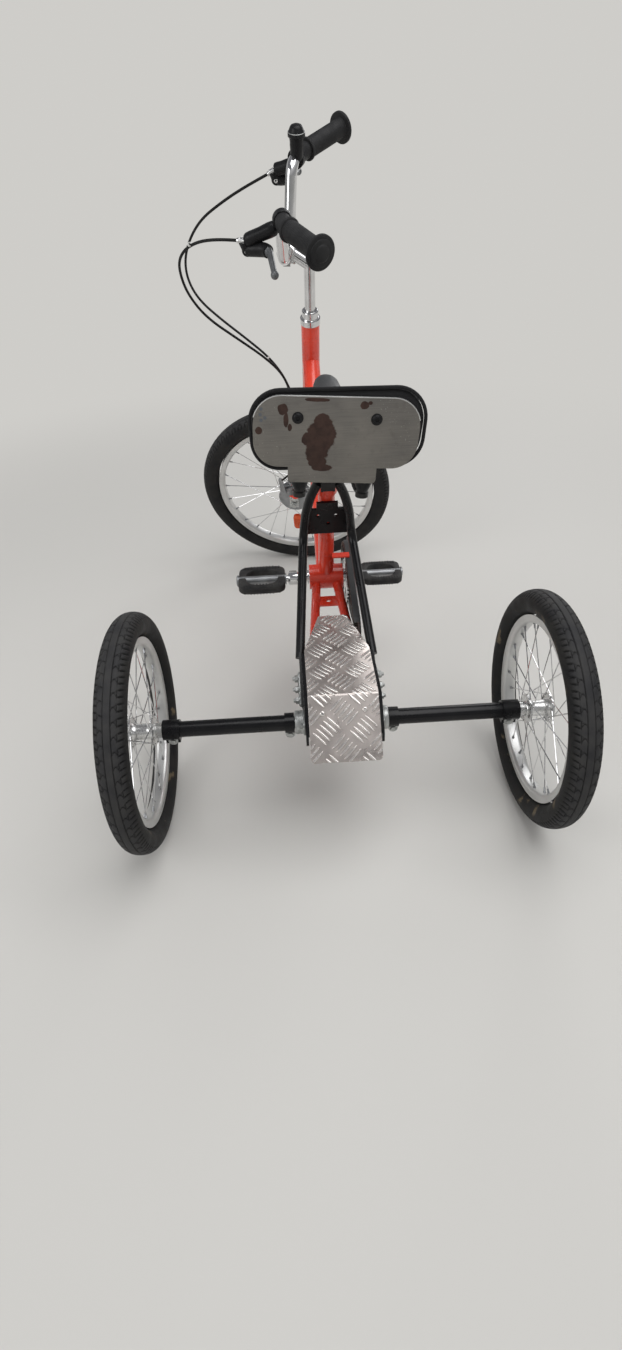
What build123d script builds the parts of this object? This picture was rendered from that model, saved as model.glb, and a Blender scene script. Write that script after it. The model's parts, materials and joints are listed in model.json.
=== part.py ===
from build123d import *
import os
from math import asin, atan2, cos, degrees, hypot, pi, radians, sin, sqrt, tan

# A child's upright tricycle for special needs. In front it is a small bicycle: frame, fork, wheel,
# cranks and saddle. In place of the bicycle's rear wheel a bolted carrier holds a bearing on each
# side, and an axle tube and a wheel turn in each bearing.
# Millimetres. +X is the rider's right, +Y is forward, +Z is up. The pieces are laid out from the
# floor below the middle of the rear axle, and shifted at the end so that the origin lies on the
# floor below the middle of the whole machine.

# Wheels
rear_tyre_radius = 200.0
rear_tyre_width = 47.0
rear_rim_radius = 158.0
front_tyre_radius = 253.0
front_tyre_width = 46.0
front_rim_radius = 209.0
rim_width = 23.6
rim_depth = 14.5
spoke_width = 1.8
spoke_count = 28
rear_hub_inside = 35.0
rear_hub_outside = 23.0

# Layout
rear_track = 666.0
wheelbase = 928.0
head_angle = 69.4
fork_rake = 46.0
steer_left_at_rest = 81.35
bracket_forward = 360.0
bracket_height = 270.0
seat_tube_angle = 70.0

# Fits
running_gap = 0.05
seat_gap = 0.3
moving_gap = 1.0

# Frame tubes
head_tube_radius = 19.5
head_tube_low = 305.0
head_tube_high = 465.0
head_tube_wall = 3.0
cup_height = 13.0
upper_cup_height = 11.0
steerer_radius = 12.7
main_tube_radius = 19.0
main_tube_joint = 380.0
seat_tube_radius = 15.0
seat_tube_length = 250.0
seat_collar_radius = 19.0
seat_collar_height = 20.0
bracket_shell_radius = 25.0
bracket_shell_width = 68.0
stay_radius = 9.0
dropout_inside = 52.0
dropout_thickness = 5.0
stand_plate_forward = 290.0
stand_plate_thickness = 4.0
stand_hole_radius = 5.2

# Rear carrier
side_plate_thickness = 4.0
tread_thickness = 3.0
tread_width = 111.0
tread_tip_width = 52.0
tread_fold_forward = -35.0
tread_taper_forward = 85.0
tread_tip_forward = 187.0
tread_top = 286.0
tread_rear_slope = 44.5
tread_rear_length = 105.0
flange_width = 15.0
flange_thickness = 4.0
side_plate_forward = 80.0
side_plate_rear_length = 64.0
axle_radius = 10.0
axle_hole_radius = 14.0
housing_radius = 20.0
housing_width = 17.0
axle_tube_radius = 13.5
collar_radius = 17.0
inner_collar_width = 16.0
outer_collar_width = 28.0
arch_tube_radius = 8.0
arch_end_thickness = 4.0
arch_block_half = 8.0
strap_length = 60.0
strap_bolt_step = 19.0
adapter_thickness = 5.0

# Drive
crank_length = 100.0
crank_angle = 29.4
crank_inside = 60.0
crank_thickness = 14.0
spindle_radius = 8.5
chain_pitch = 12.7
chain_line = 40.0
chain_height = 8.0
chain_width = 7.0
chainring_teeth = 32
sprocket_teeth = 16
ring_thickness = 3.0
guard_clearance = 7.0
guard_inside = 36.5
guard_outside = 49.0
guard_thickness = 2.0
guard_tail_forward = 182.0
guard_tail_radius = 34.0
guard_tab_along = -24.0
pedal_length = 92.0
pedal_bar_width = 17.0
pedal_end_width = 13.0
pedal_depth = 80.0
pedal_thickness = 25.0
pedal_pin_radius = 6.0

# Fork and handlebar
crown_low = 262.0
crown_half_width = 54.0
blade_radius = 9.5
blade_spread = 50.0
front_axle_radius = 5.0
hub_half_width = 29.0
drum_radius = 44.0
bar_radius = 11.1
quill_radius = 11.1
stem_reach = 43.0
stem_height = 606.0
grip_radius = 16.0
grip_length = 100.0
lever_across = 118.5
lever_body_radius = 9.0
lever_blade_radius = 5.5
brake_block = (7.0, 38.0, 8.0)
caliper_reach = 33.0
cable_radius = 2.5

# Seat and backrest
seat_post_radius = 12.7
seat_post_head = 13.0
seat_roll = 4.0
seat_roll_height = 540.0
saddle_low = 612.0
saddle_thickness = 53.0
rail_radius = 3.5
rail_spread = 22.0
rail_drop = 12.0
spring_radius = 14.0
spring_spread = 49.0
spring_behind = 79.0
spring_drop = 80.0
backrest_behind = 184.0
backrest_width = 218.0
backrest_drop = 2.0
backrest_across = -7.0
backrest_height = 90.0
backrest_plate_thickness = 2.0
backrest_pad_thickness = 30.0
backrest_tab_width = 120.0
backrest_tab_across = -3.0
backrest_tab_depth = 21.0
backrest_arm_thickness = 5.0

# Worked out
rear_axle_height = rear_tyre_radius
half_track = rear_track / 2
head = radians(head_angle)
steer = radians(steer_left_at_rest)
plate_inside = dropout_inside + dropout_thickness
plate_outside = plate_inside + side_plate_thickness
housing_outside = plate_outside + housing_width
crown_high = head_tube_low - cup_height - seat_gap
UP = (Align.CENTER, Align.CENTER, Align.MIN)


def tyre_half(radius, width, rim_radius):
    """Half outline of a tyre from rim to crown, as (radius, sideways) pairs."""
    height = radius - rim_radius
    return [
        (rim_radius + seat_gap, rim_width / 2),
        (rim_radius + 0.35 * height, 0.5 * width),
        (rim_radius + 0.76 * height, 0.42 * width),
        (radius, 0.12 * width),
    ]


# The steered front wheel leans, and rests on the floor: this sets the height of its axle
front_half = tyre_half(front_tyre_radius, front_tyre_width, front_rim_radius)
lean = cos(head) * sin(steer)
front_axle_height = max(r * sqrt(1 - lean ** 2) + w * lean for r, w in front_half)

up_axis = Vector(0, -cos(head), sin(head))
straight_ahead = Vector(0, sin(head), cos(head))
ahead = straight_ahead * cos(steer) + Vector(-1, 0, 0) * sin(steer)
to_right = ahead.cross(up_axis)
steering_foot = Vector(
    0,
    wheelbase - fork_rake * sin(head),
    front_axle_height - fork_rake * cos(steer) * cos(head),
)
steering_place = Plane(origin=steering_foot, x_dir=to_right, z_dir=up_axis).location
head_place = Plane(origin=steering_foot, x_dir=(1, 0, 0), z_dir=up_axis).location

side_lean = to_right.Y
front_reach = (steering_foot + ahead * fork_rake).Y + max(
    r * sqrt(1 - side_lean ** 2) + w * side_lean for r, w in front_half
)
middle = (front_reach - rear_tyre_radius) / 2

seat_tilt = radians(seat_tube_angle)
seat_direction = Vector(0, -cos(seat_tilt), sin(seat_tilt))
bracket_centre = Vector(0, bracket_forward, bracket_height)
seat_place = Plane(origin=bracket_centre, x_dir=(1, 0, 0), z_dir=seat_direction).location
roll_place = Pos(0, 0, seat_roll_height) * Rot(0, seat_roll, 0) * Pos(0, 0, -seat_roll_height)

# The seat post ends inside its head, and the saddle and the backrest are laid out from there
rail_height = saddle_low - rail_drop
seat_post_length = (rail_height - bracket_height) / sin(seat_tilt) - seat_post_head + 2
seat_forward = (bracket_centre + seat_direction * seat_post_length).Y
spring_forward = seat_forward - spring_behind
spring_low = saddle_low - spring_drop
backrest_forward = seat_forward - backrest_behind
backrest_low = saddle_low - backrest_drop
backrest_place = Pos(backrest_across, 0, 0) * roll_place


def in_seat_tube(x, forward, along):
    """The place of a point given across, in front of and up along the seat tube."""
    square = Vector(0, sin(seat_tilt), cos(seat_tilt))
    return bracket_centre + Vector(x, 0, 0) + square * forward + seat_direction * along


def rod(start, end, radius):
    """A round bar from one point to another."""
    start, end = Vector(*start), Vector(*end)
    along = end - start
    return Plane(origin=start, z_dir=along).location * Cylinder(radius, along.length, align=UP)


def turned(outline):
    """A solid turned about X from (sideways, radius) points."""
    return revolve(make_face(Polyline(*outline, close=True)), Axis.X)


def disc(radius, low, high):
    """A round disc on the X axis between two sideways places."""
    return Pos(low, 0, 0) * Rot(0, 90, 0) * Cylinder(radius, high - low, align=UP)


def column(radius, low, high):
    """A round disc on the Z axis between two heights."""
    return Pos(0, 0, low) * Cylinder(radius, high - low, align=UP)


def in_side_view(face, low, high):
    """A face drawn as (forward, up), made solid between two sideways places."""
    plane = Plane(origin=(low, 0, 0), x_dir=(0, 1, 0), z_dir=(1, 0, 0))
    return extrude(plane.location * face, amount=high - low)


def polygon(points):
    return make_face(Polyline(*points, close=True))


def round_ends(*circles):
    """The hull of circles given as (across, up, radius)."""
    edges = []
    for across, up, radius in circles:
        edges.extend((Pos(across, up) * Circle(radius)).edges())
    return make_hull(edges)


def largest_radii(points):
    """For each corner of a route, the largest arc that its two runs allow."""
    radii = []
    for before, corner, after in zip(points, points[1:], points[2:]):
        first = Vector(*corner) - Vector(*before)
        second = Vector(*after) - Vector(*corner)
        half_turn = radians(first.get_angle(second)) / 2
        radii.append(0.45 * min(first.length, second.length) / tan(half_turn))
    return radii


def bent_bar(points, radii, radius):
    """A round bar along straight runs joined by arcs."""
    bars = []
    for run in FilletPolyline(*points, radius=radii).edges():
        section = Plane(origin=run @ 0, z_dir=run % 0).location * Circle(radius)
        if run.geom_type == GeomType.LINE:
            bars.append(extrude(section, amount=run.length))
        else:
            turning_axis = (run @ 0 - run.arc_center).cross(run % 0)
            bend = degrees(run.length / run.radius)
            bars.append(revolve(section, Axis(run.arc_center, turning_axis), bend))
    return bars[0] + bars[1:]


def mirrored(piece):
    """The same piece on the left."""
    return mirror(piece, about=Plane.YZ)


# Wheels

def tyre(radius, width, rim_radius):
    half = [(w, r) for r, w in tyre_half(radius, width, rim_radius)]
    return turned(half + [(-w, r) for w, r in reversed(half)])


def rim(radius):
    half = rim_width / 2
    inner = radius - rim_depth
    return turned([
        (half, radius), (half, inner + 3.5), (0.6 * half, inner),
        (-0.6 * half, inner), (-half, inner + 3.5), (-half, radius),
    ])


def spokes(rim_radius, flanges, crossing):
    """Crossed spokes, from flanges given as (sideways, radius) to just short of the rim."""
    bars = []
    end_radius = rim_radius - rim_depth - seat_gap
    for number in range(spoke_count):
        flange_x, flange_radius = flanges[number % 2]
        turn = 1 if (number // 2) % 2 else -1
        rim_turn = 2 * pi * number / spoke_count
        hub_turn = rim_turn + turn * radians(crossing)
        side = 1 if flange_x > 0 else -1
        start = Vector(
            flange_x + 2 * turn, flange_radius * cos(hub_turn), flange_radius * sin(hub_turn)
        )
        end = Vector(2.5 * side, end_radius * cos(rim_turn), end_radius * sin(rim_turn))
        section = Rectangle(spoke_width, spoke_width)
        bars.append(extrude(Plane(origin=start, z_dir=end - start).location * section,
                            amount=(end - start).length))
    return bars


def rear_hub():
    """Hub of the right rear wheel with two flanges and its spokes; sideways from the rim."""
    shell = turned([
        (-rear_hub_inside, 0), (-rear_hub_inside, 13), (-22, 13), (-22, 25), (-18, 25), (-18, 15),
        (15, 15), (15, 25), (19, 25), (19, 12), (rear_hub_outside, 12), (rear_hub_outside, 0),
    ])
    return shell + spokes(rear_rim_radius, [(17, 22.0), (-20, 22.0)], 62)


def collar(low, high):
    """A split clamp ring with a pinch bolt below."""
    centre = (low + high) / 2
    ears = Pos(centre, 0, -collar_radius) * Box(high - low - 4, 13, 14)
    bolt = Pos(centre, 0, -collar_radius - 2.5) * Rot(90, 0, 0) * Cylinder(3.5, 21)
    return disc(collar_radius, low, high) + ears + bolt


def axle_tube(journal_start):
    """Right axle tube with its collars, and the journal that turns in the bearing housing."""
    start = housing_outside + moving_gap
    end = half_track - rear_hub_inside
    whole = disc(axle_tube_radius, start, end)
    whole = whole + collar(start, start + inner_collar_width)
    whole = whole + collar(end - outer_collar_width, end)
    whole = whole + disc(axle_radius - running_gap, journal_start, start)
    return Pos(0, 0, rear_axle_height) * whole


# Rear carrier

rear_slope = radians(tread_rear_slope)
tread_rear_forward = tread_fold_forward - tread_rear_length * cos(rear_slope)
tread_rear_height = tread_top - tread_rear_length * sin(rear_slope)


def below_tread(depth, length):
    """Two points at a depth into the folded sheet: a length down its slope, and at its fold."""
    rear = (
        tread_fold_forward - length * cos(rear_slope) + depth * sin(rear_slope),
        tread_top - length * sin(rear_slope) - depth * cos(rear_slope),
    )
    fold = (tread_fold_forward + depth * tan(rear_slope / 2), tread_top - depth)
    return rear, fold


def tread_plate():
    """Folded plate: flat with a tapered nose in front, sloping down behind."""
    rear_top, fold_top = below_tread(0, tread_rear_length)
    rear_low, fold_low = below_tread(tread_thickness, tread_rear_length)
    half, tip = tread_width / 2, tread_tip_width / 2
    side = polygon([
        rear_top, fold_top, (tread_tip_forward, tread_top),
        (tread_tip_forward, tread_top - tread_thickness), fold_low, rear_low,
    ])
    behind = tread_rear_forward - 5
    plan = polygon([
        (-half, behind), (-half, tread_taper_forward), (-tip, tread_tip_forward),
        (tip, tread_tip_forward), (half, tread_taper_forward), (half, behind),
    ])
    column_of_plan = extrude(Pos(0, 0, tread_rear_height - 20) * plan, amount=tread_top)
    return in_side_view(side, -half, half) & column_of_plan


def side_plate():
    """Right side plate, with a flange along its top that carries the tread plate."""
    rear, fold = below_tread(tread_thickness, side_plate_rear_length)
    rear_low, fold_low = below_tread(tread_thickness + flange_thickness, side_plate_rear_length)
    front_top = (side_plate_forward, tread_top - tread_thickness)
    outline = polygon([
        rear, fold, front_top, (side_plate_forward + 4, tread_top - 26), (side_plate_forward - 6, 214),
        (32, rear_axle_height - 26), (-30, rear_axle_height - 28), (rear[0] - 2, rear[1] - 16),
    ])
    plate = in_side_view(outline, plate_inside, plate_outside)
    hole = Pos(0, 0, rear_axle_height) * disc(axle_hole_radius, plate_inside - 1, plate_outside + 1)
    strip = polygon([
        rear, fold, front_top, (side_plate_forward, front_top[1] - flange_thickness), fold_low, rear_low,
    ])
    return plate - hole + in_side_view(strip, plate_inside - flange_width, plate_inside)


def bearing_housing():
    """Right bearing housing: a two-lobed flange and a boss, bored for the axle."""
    lobes = round_ends((0, 0, housing_radius + 3), (24, -13, 8), (-24, 13, 8))
    flange = in_side_view(lobes, plate_outside, plate_outside + 3)
    whole = flange + disc(housing_radius, plate_outside, housing_outside)
    bore = disc(axle_radius, plate_outside - 1, housing_outside + 1)
    return Pos(0, 0, rear_axle_height) * (whole - bore)


# The arch: two stays from a collar on the seat post, past the adapter, down to the side plates.
# Columns: across, up along the seat tube, set by the height of the tube's end
arch_behind = seat_tube_radius + adapter_thickness + arch_tube_radius
arch_top = [
    (16.5, seat_tube_length + 22), (28, seat_tube_length - 4), (38, seat_tube_length - 42),
    (44, seat_tube_length - 100),
]
arch_foot = Vector(plate_outside + arch_end_thickness / 2, side_plate_forward + 13, 264)
arch_knee = in_seat_tube(arch_top[-1][0], -arch_behind, arch_top[-1][1])
arch_run = Vector(0, arch_foot.Y - arch_knee.Y, arch_foot.Z - arch_knee.Z).normalized()
arch_slope = degrees(atan2(-arch_run.Z, -arch_run.Y))
flat_end = hypot(arch_foot.Y, arch_foot.Z - rear_axle_height) - housing_radius - 5


def arch_stay():
    """Right stay, with its lower end flattened against the side plate."""
    points = [tuple(in_seat_tube(x, -arch_behind, up)) for x, up in arch_top] + [tuple(arch_foot)]
    tube = bent_bar(points, largest_radii(points), arch_tube_radius)
    flat = Box(arch_end_thickness, flat_end + 8, 2 * arch_tube_radius)
    place = arch_foot + arch_run * (flat_end / 2 - 4)
    tab = Pos(arch_block_half + 2, -arch_behind, arch_top[0][1] - 3) * Box(4, 2 * arch_tube_radius, 22)
    return tube + Pos(*place) * Rot(arch_slope, 0, 0) * flat + seat_place * tab


def side_strap():
    """Right zinc strap over the stay's flat end, with its three bolts."""
    place = arch_foot + arch_run * (flat_end - 2 - strap_length / 2)
    inside = plate_outside + arch_end_thickness - arch_foot.X
    strap = Pos(inside + 1.5, 0, 0) * Box(3, strap_length, 15)
    for along in (-strap_bolt_step, 0, strap_bolt_step):
        strap = strap + Pos(0, along, 0) * disc(4.5, inside + 1, inside + 12)
    return Pos(*place) * Rot(arch_slope, 0, 0) * strap


def adapter_bracket():
    """Black plate behind the seat tube that ties the two stays to it."""
    top, wide, narrow = seat_tube_length - 32, 42.5, 19
    shoulder, low = top - 15, top - 74
    face = polygon([
        (-wide, low), (-wide, shoulder), (-narrow, shoulder), (-narrow, top),
        (narrow, top), (narrow, shoulder), (wide, shoulder), (wide, low),
    ])
    upright = Plane(origin=(0, -seat_tube_radius, 0), x_dir=(1, 0, 0), z_dir=(0, -1, 0))
    plate = extrude(upright.location * face, amount=adapter_thickness)
    for x, up in ((-15.6, top - 30), (15.6, top - 30), (2, top - 49)):
        hole = Pos(x, -seat_tube_radius, up) * Rot(90, 0, 0) * Cylinder(3.5, 4 * adapter_thickness)
        plate = plate - hole
    return seat_place * plate


def adapter_collar():
    """Clamp on the seat post that holds the upper ends of the stays."""
    low, high = arch_top[0][1] - 13, arch_top[0][1] + 7
    ring = column(seat_post_radius + 6, low, high)
    block = Pos(0, -arch_behind / 2 - 4, (low + high) / 2)
    block = block * Box(2 * arch_block_half, arch_behind + 8, high - low)
    bore = column(seat_post_radius + running_gap, low - 1, high + 1)
    return seat_place * (ring + block - bore)


# Bicycle frame

chainstay_start = Vector(20, bracket_forward - 10, bracket_height - 6)
chainstay_end = Vector(dropout_inside - 6, 52, rear_axle_height + 10)


def on_chainstay(forward):
    """The point of the right chainstay's middle line at a distance forward of the axle."""
    share = (chainstay_start.Y - forward) / (chainstay_start.Y - chainstay_end.Y)
    return chainstay_start + (chainstay_end - chainstay_start) * share


chainring_radius = chain_pitch / (2 * sin(pi / chainring_teeth))
sprocket_radius = chain_pitch / (2 * sin(pi / sprocket_teeth))
guard_radius = chainring_radius + chain_height / 2 + guard_clearance + guard_thickness

# Straight runs of the chain: their slopes, and directions from each centre to the tangent points
bracket_rise = bracket_height - rear_axle_height
centre_distance = hypot(bracket_forward, bracket_rise)
tangent_turn = asin((chainring_radius - sprocket_radius) / centre_distance)
line_of_centres = atan2(bracket_rise, bracket_forward)
upper_turn = line_of_centres + tangent_turn
lower_turn = line_of_centres - tangent_turn
upper_start = Vector(-sin(upper_turn), cos(upper_turn))
lower_start = Vector(sin(lower_turn), -cos(lower_turn))
rear_centre = Vector(0, rear_axle_height)
front_centre = Vector(bracket_forward, bracket_height)


def main_frame():
    """Red welded frame: head tube, main tube, seat tube, bracket shell, stays and dropouts."""
    joint = steering_foot + up_axis * main_tube_joint
    frame = head_place * column(head_tube_radius, head_tube_low, head_tube_high)
    frame = frame + rod(joint, bracket_centre, main_tube_radius)
    frame = frame + seat_place * column(seat_tube_radius, 0, seat_tube_length)
    collar_low = seat_tube_length - seat_collar_height
    frame = frame + seat_place * column(seat_collar_radius, collar_low, seat_tube_length)
    half_shell = bracket_shell_width / 2
    frame = frame + Pos(*bracket_centre) * disc(bracket_shell_radius, -half_shell, half_shell)

    stay = rod(chainstay_start, chainstay_end, stay_radius)
    dropout = round_ends((52, 10, 13), (0, 0, axle_hole_radius + 9), (-8, -2, 15))
    dropout = in_side_view(dropout, dropout_inside, plate_inside)
    opening = disc(axle_hole_radius, dropout_inside - 1, plate_inside + 1)
    right = stay + Pos(0, 0, rear_axle_height) * (dropout - opening)
    frame = frame + right + mirrored(right)

    plate_place = on_chainstay(stand_plate_forward)
    plate = Pos(0, plate_place.Y, plate_place.Z) * Box(2 * plate_place.X, 32, stand_plate_thickness)
    frame = frame + plate

    tab_end = guard_inside + 7
    tab = Pos(tab_end / 2 + 5, guard_tab_along, guard_radius + running_gap + 1.5)
    tab = Rot(degrees(upper_turn), 0, 0) * tab
    frame = frame + Pos(*bracket_centre) * tab * Box(tab_end - 10, 12, 3)
    boss = on_chainstay(guard_tail_forward) + Vector(0, 0, 5)
    frame = frame + rod(boss, (guard_outside - guard_thickness, boss.Y, boss.Z), 4)

    head_bore = column(head_tube_radius - head_tube_wall, head_tube_low - 1, head_tube_high + 1)
    post_bore = column(seat_post_radius + running_gap, 60, seat_tube_length + 1)
    spindle_bore = disc(spindle_radius + running_gap, -half_shell - 1, half_shell + 1)
    stand_hole = Pos(0, plate_place.Y, plate_place.Z) * Cylinder(stand_hole_radius, 20)
    frame = frame - head_place * head_bore - seat_place * post_bore
    return frame - Pos(*bracket_centre) * spindle_bore - stand_hole


def headset_cups():
    """Cups at both ends of the head tube, in which the steerer turns."""
    cups = []
    lower = (head_tube_low - cup_height, head_tube_low)
    upper = (head_tube_high, head_tube_high + upper_cup_height)
    for low, high in (lower, upper):
        bore = column(steerer_radius + running_gap, low - 1, high + 1)
        cups.append(head_place * (column(head_tube_radius + 1.5, low, high) - bore))
    return cups


# Drive

def chain_route():
    """Chain's middle line as (length, function of distance) pieces, each giving a point."""
    run = centre_distance * cos(tangent_turn)
    front_wrap = pi + 2 * tangent_turn
    rear_wrap = pi - 2 * tangent_turn

    def upper(s):
        return rear_centre + upper_start * sprocket_radius + Vector(cos(upper_turn), sin(upper_turn)) * s

    def front(s):
        turn = upper_turn + pi / 2 - s / chainring_radius
        return front_centre + Vector(cos(turn), sin(turn)) * chainring_radius

    def lower(s):
        from_front = front_centre + lower_start * chainring_radius
        return from_front - Vector(cos(lower_turn), sin(lower_turn)) * s

    def rear(s):
        turn = lower_turn - pi / 2 - s / sprocket_radius
        return rear_centre + Vector(cos(turn), sin(turn)) * sprocket_radius

    return [
        (run, upper), (front_wrap * chainring_radius, front),
        (run, lower), (rear_wrap * sprocket_radius, rear),
    ]


def chain():
    """Closed chain on both sprockets: wide outer links and narrow inner links in turn."""
    route = chain_route()
    total = sum(length for length, place in route)
    count = 2 * round(total / (2 * chain_pitch))
    pins = []
    for number in range(count):
        distance = total * number / count
        for length, place in route:
            if distance < length:
                pins.append(place(distance))
                break
            distance = distance - length
    links = []
    for number, pin in enumerate(pins):
        following = pins[(number + 1) % count]
        centre = (pin + following) * 0.5
        turn = degrees(atan2(following.Y - pin.Y, following.X - pin.X))
        outer = number % 2 == 0
        width = chain_width if outer else chain_width - 2.4
        height = chain_height if outer else chain_height - 1
        link = Box(width, (following - pin).length + (3 if outer else 0), height)
        links.append(Pos(chain_line, centre.X, centre.Y) * Rot(turn, 0, 0) * link)
    return links[0] + links[1:]


def toothed_ring(radius, teeth):
    """A toothed disc that turns just inside the chain."""
    tip = radius * cos(pi / teeth) - chain_height / 2 - seat_gap
    root = tip - 4
    points = []
    for number in range(teeth):
        for share, reach in ((0.0, root), (0.22, tip), (0.5, tip), (0.72, root)):
            turn = 2 * pi * (number + share) / teeth
            points.append((reach * cos(turn), reach * sin(turn)))
    low = chain_line - ring_thickness / 2
    return in_side_view(polygon(points), low, low + ring_thickness)


def chain_guard():
    """Dark guard outside the chain: a plate round the chainring and a lip over the upper run."""
    tail_top = sprocket_radius + chain_height / 2 + guard_clearance + guard_thickness
    along = guard_tail_forward / cos(upper_turn)
    tail = rear_centre + upper_start * (tail_top - guard_tail_radius)
    tail = tail + Vector(cos(upper_turn), sin(upper_turn)) * along
    outline = round_ends(
        (front_centre.X, front_centre.Y, guard_radius), (tail.X, tail.Y, guard_tail_radius)
    )
    inner = round_ends(
        (front_centre.X, front_centre.Y, guard_radius - guard_thickness),
        (tail.X, tail.Y, guard_tail_radius - guard_thickness),
    )
    whole = in_side_view(outline, guard_inside, guard_outside)
    whole = whole - in_side_view(inner, guard_inside - 1, guard_outside - guard_thickness)
    edge = rear_centre + upper_start * (sprocket_radius + chain_height)
    far = edge + Vector(cos(upper_turn), sin(upper_turn)) * (2 * bracket_forward)
    below = polygon([(edge.X - 9, edge.Y), (far.X, far.Y), (far.X, -99), (edge.X - 9, -99)])
    whole = whole - in_side_view(below, guard_inside - 1, guard_outside - guard_thickness)
    hole = Pos(*bracket_centre) * disc(chainring_radius / 2 - 8, guard_inside, guard_outside + 1)
    return whole - hole


crank_turn = radians(crank_angle)
pedal_step = Vector(0, cos(crank_turn), -sin(crank_turn)) * crank_length
pedal_start = crank_inside + crank_thickness + 6
pedal_end = pedal_start + pedal_length


def crank_arm():
    """Right crank arm with its boss and the pedal's pin."""
    blade = round_ends((0, 0, 15), (pedal_step.Y, pedal_step.Z, 11))
    arm = in_side_view(blade, crank_inside, crank_inside + crank_thickness)
    pin = disc(pedal_pin_radius, crank_inside + crank_thickness, pedal_end - 5)
    return arm + Pos(0, pedal_step.Y, pedal_step.Z) * pin


def crank_right():
    """Right crank with the chainring and the spider between them."""
    low = chain_line + ring_thickness / 2
    ring = toothed_ring(chainring_radius, chainring_teeth)
    for number in range(4):
        window = Rot(45 + 90 * number, 0, 0) * Pos(0, 38, 0)
        ring = ring - window * disc(13, chain_line - 9, chain_line + 9)
    spider = turned([(low, 0), (low, 20), (low + 5, 15), (crank_inside, 15), (crank_inside, 0)])
    bore = disc(spindle_radius + running_gap, 0, crank_inside)
    return Pos(*bracket_centre) * ((ring + spider - bore) + crank_arm())


def pedal_frame():
    """Right pedal's axle tube, with a washer at each end that keeps the rubber body on it."""
    tube = disc(pedal_pin_radius + 2, pedal_start, pedal_end)
    for low, high in ((pedal_start, pedal_start + 2), (pedal_end - 2, pedal_end)):
        tube = tube + disc(pedal_pin_radius + 5, low, high)
    bore = disc(pedal_pin_radius + running_gap, pedal_start - 1, pedal_end - 3)
    return tube - bore


def pedal_rubbers():
    """Right pedal's rubber body: a rounded loop round the axle tube, open between."""
    length = pedal_end - pedal_start - 4 - 2 * seat_gap
    outer = RectangleRounded(length, pedal_depth, 16)
    opening = RectangleRounded(length - 2 * pedal_end_width, pedal_depth - 2 * pedal_bar_width, 7)
    loop = extrude(outer - opening, amount=pedal_thickness / 2, both=True)
    middle = (pedal_start + pedal_end) / 2
    return Pos(middle, 0, 0) * loop - disc(pedal_pin_radius + 2 + seat_gap, pedal_start, pedal_end)


# Fork and front wheel, in the steering frame: right, forward and up along the steering axis

def fork():
    """Red fork: steerer, crown, two raked blades and dropouts."""
    steerer_top = head_tube_high + 27
    steerer = column(steerer_radius, crown_low, steerer_top)
    steerer = steerer - column(quill_radius + running_gap, head_tube_high - 40, steerer_top + 1)
    crown = Pos(0, 0, crown_low) * Box(2 * crown_half_width, 28, crown_high - crown_low, align=UP)
    crown = fillet(crown.edges().filter_by(Axis.Z), 12)
    points = [
        (blade_spread - 6, 0, crown_low + 8), (blade_spread - 2, 2, 110), (blade_spread, fork_rake, 15),
    ]
    blade = bent_bar(points, largest_radii(points), blade_radius)
    dropout = Pos(blade_spread, fork_rake, 6) * Box(5, 24, 36)
    hole = Pos(0, fork_rake, 0) * disc(front_axle_radius, blade_spread - 9, blade_spread + 9)
    right = blade + dropout - hole
    return steerer + crown + right + mirrored(right)


def front_axle():
    """Axle with its nuts and spacers."""
    dropout_in, dropout_out = blade_spread - 2.5, blade_spread + 2.5
    axle = disc(front_axle_radius - running_gap, -dropout_out - 10, dropout_out + 10)
    for low, high, radius in (
        (dropout_out, dropout_out + 7, 8.5), (-dropout_out - 7, -dropout_out, 8.5),
        (hub_half_width + 6.5, dropout_in, 8), (-dropout_in, -hub_half_width - 9, 8),
    ):
        axle = axle + disc(radius, low, high)
    return Pos(0, fork_rake, 0) * axle


def front_hub():
    """Drum brake hub, open on the left for the brake plate, with its spokes."""
    end = hub_half_width
    shell = turned([
        (-end, drum_radius - 9), (-end, drum_radius), (-end + 4, drum_radius), (-end + 4, drum_radius - 3),
        (-5, drum_radius - 4), (2, 19), (end - 4, 17), (end - 4, 27), (end, 27), (end, 16), (end + 5, 14),
        (end + 5, front_axle_radius), (-9, front_axle_radius), (-9, drum_radius - 9),
    ])
    flanges = [(end - 2, 24.0), (-end + 2, drum_radius - 2)]
    return Pos(0, fork_rake, 0) * (shell + spokes(front_rim_radius, flanges, 40))


def brake_plate():
    """Back plate of the drum brake with its arm."""
    face = -hub_half_width - 1
    plate = disc(drum_radius - 5, face - 5, face) + disc(drum_radius - 11, face, face + 6)
    plate = plate - disc(front_axle_radius, face - 9, face + 9)
    arm = in_side_view(round_ends((28, 20, 7), (36, 66, 5)), face - 9, face - 5)
    return Pos(0, fork_rake, 0) * (plate + arm)


def caliper():
    """Side pull brake in front of the crown: two arms, their bolt and two rim blocks."""
    bolt_height = 278.0
    block_height = front_rim_radius - 4
    block_inside = rim_width / 2 + 2
    pieces = [Pos(0, 25.5, bolt_height) * Rot(90, 0, 0) * Cylinder(4, 23)]
    for side, forward in ((-1, 32.0), (1, 21.5)):
        reach = side * caliper_reach
        points = [
            (-side * 22, forward, bolt_height + 12), (0, forward, bolt_height),
            (reach, forward, bolt_height - 16), (reach, forward, block_height),
        ]
        pieces.append(bent_bar(points, [12, 16], 4.5))
        pieces.append(rod((reach, forward, block_height), (side * block_inside, forward, block_height), 4))
        middle_of_block = side * (block_inside + brake_block[0] / 2)
        pieces.append(Pos(middle_of_block, 36, block_height - 1) * Box(*brake_block))
    return pieces[0] + pieces[1:]


# Handlebar: corners of its right half, from the stem's clamp to the end of the grip
bar_half = [(48, stem_reach, stem_height), (95, 40, 708), (141, 26, 708), (234, -40, 715)]


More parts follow.
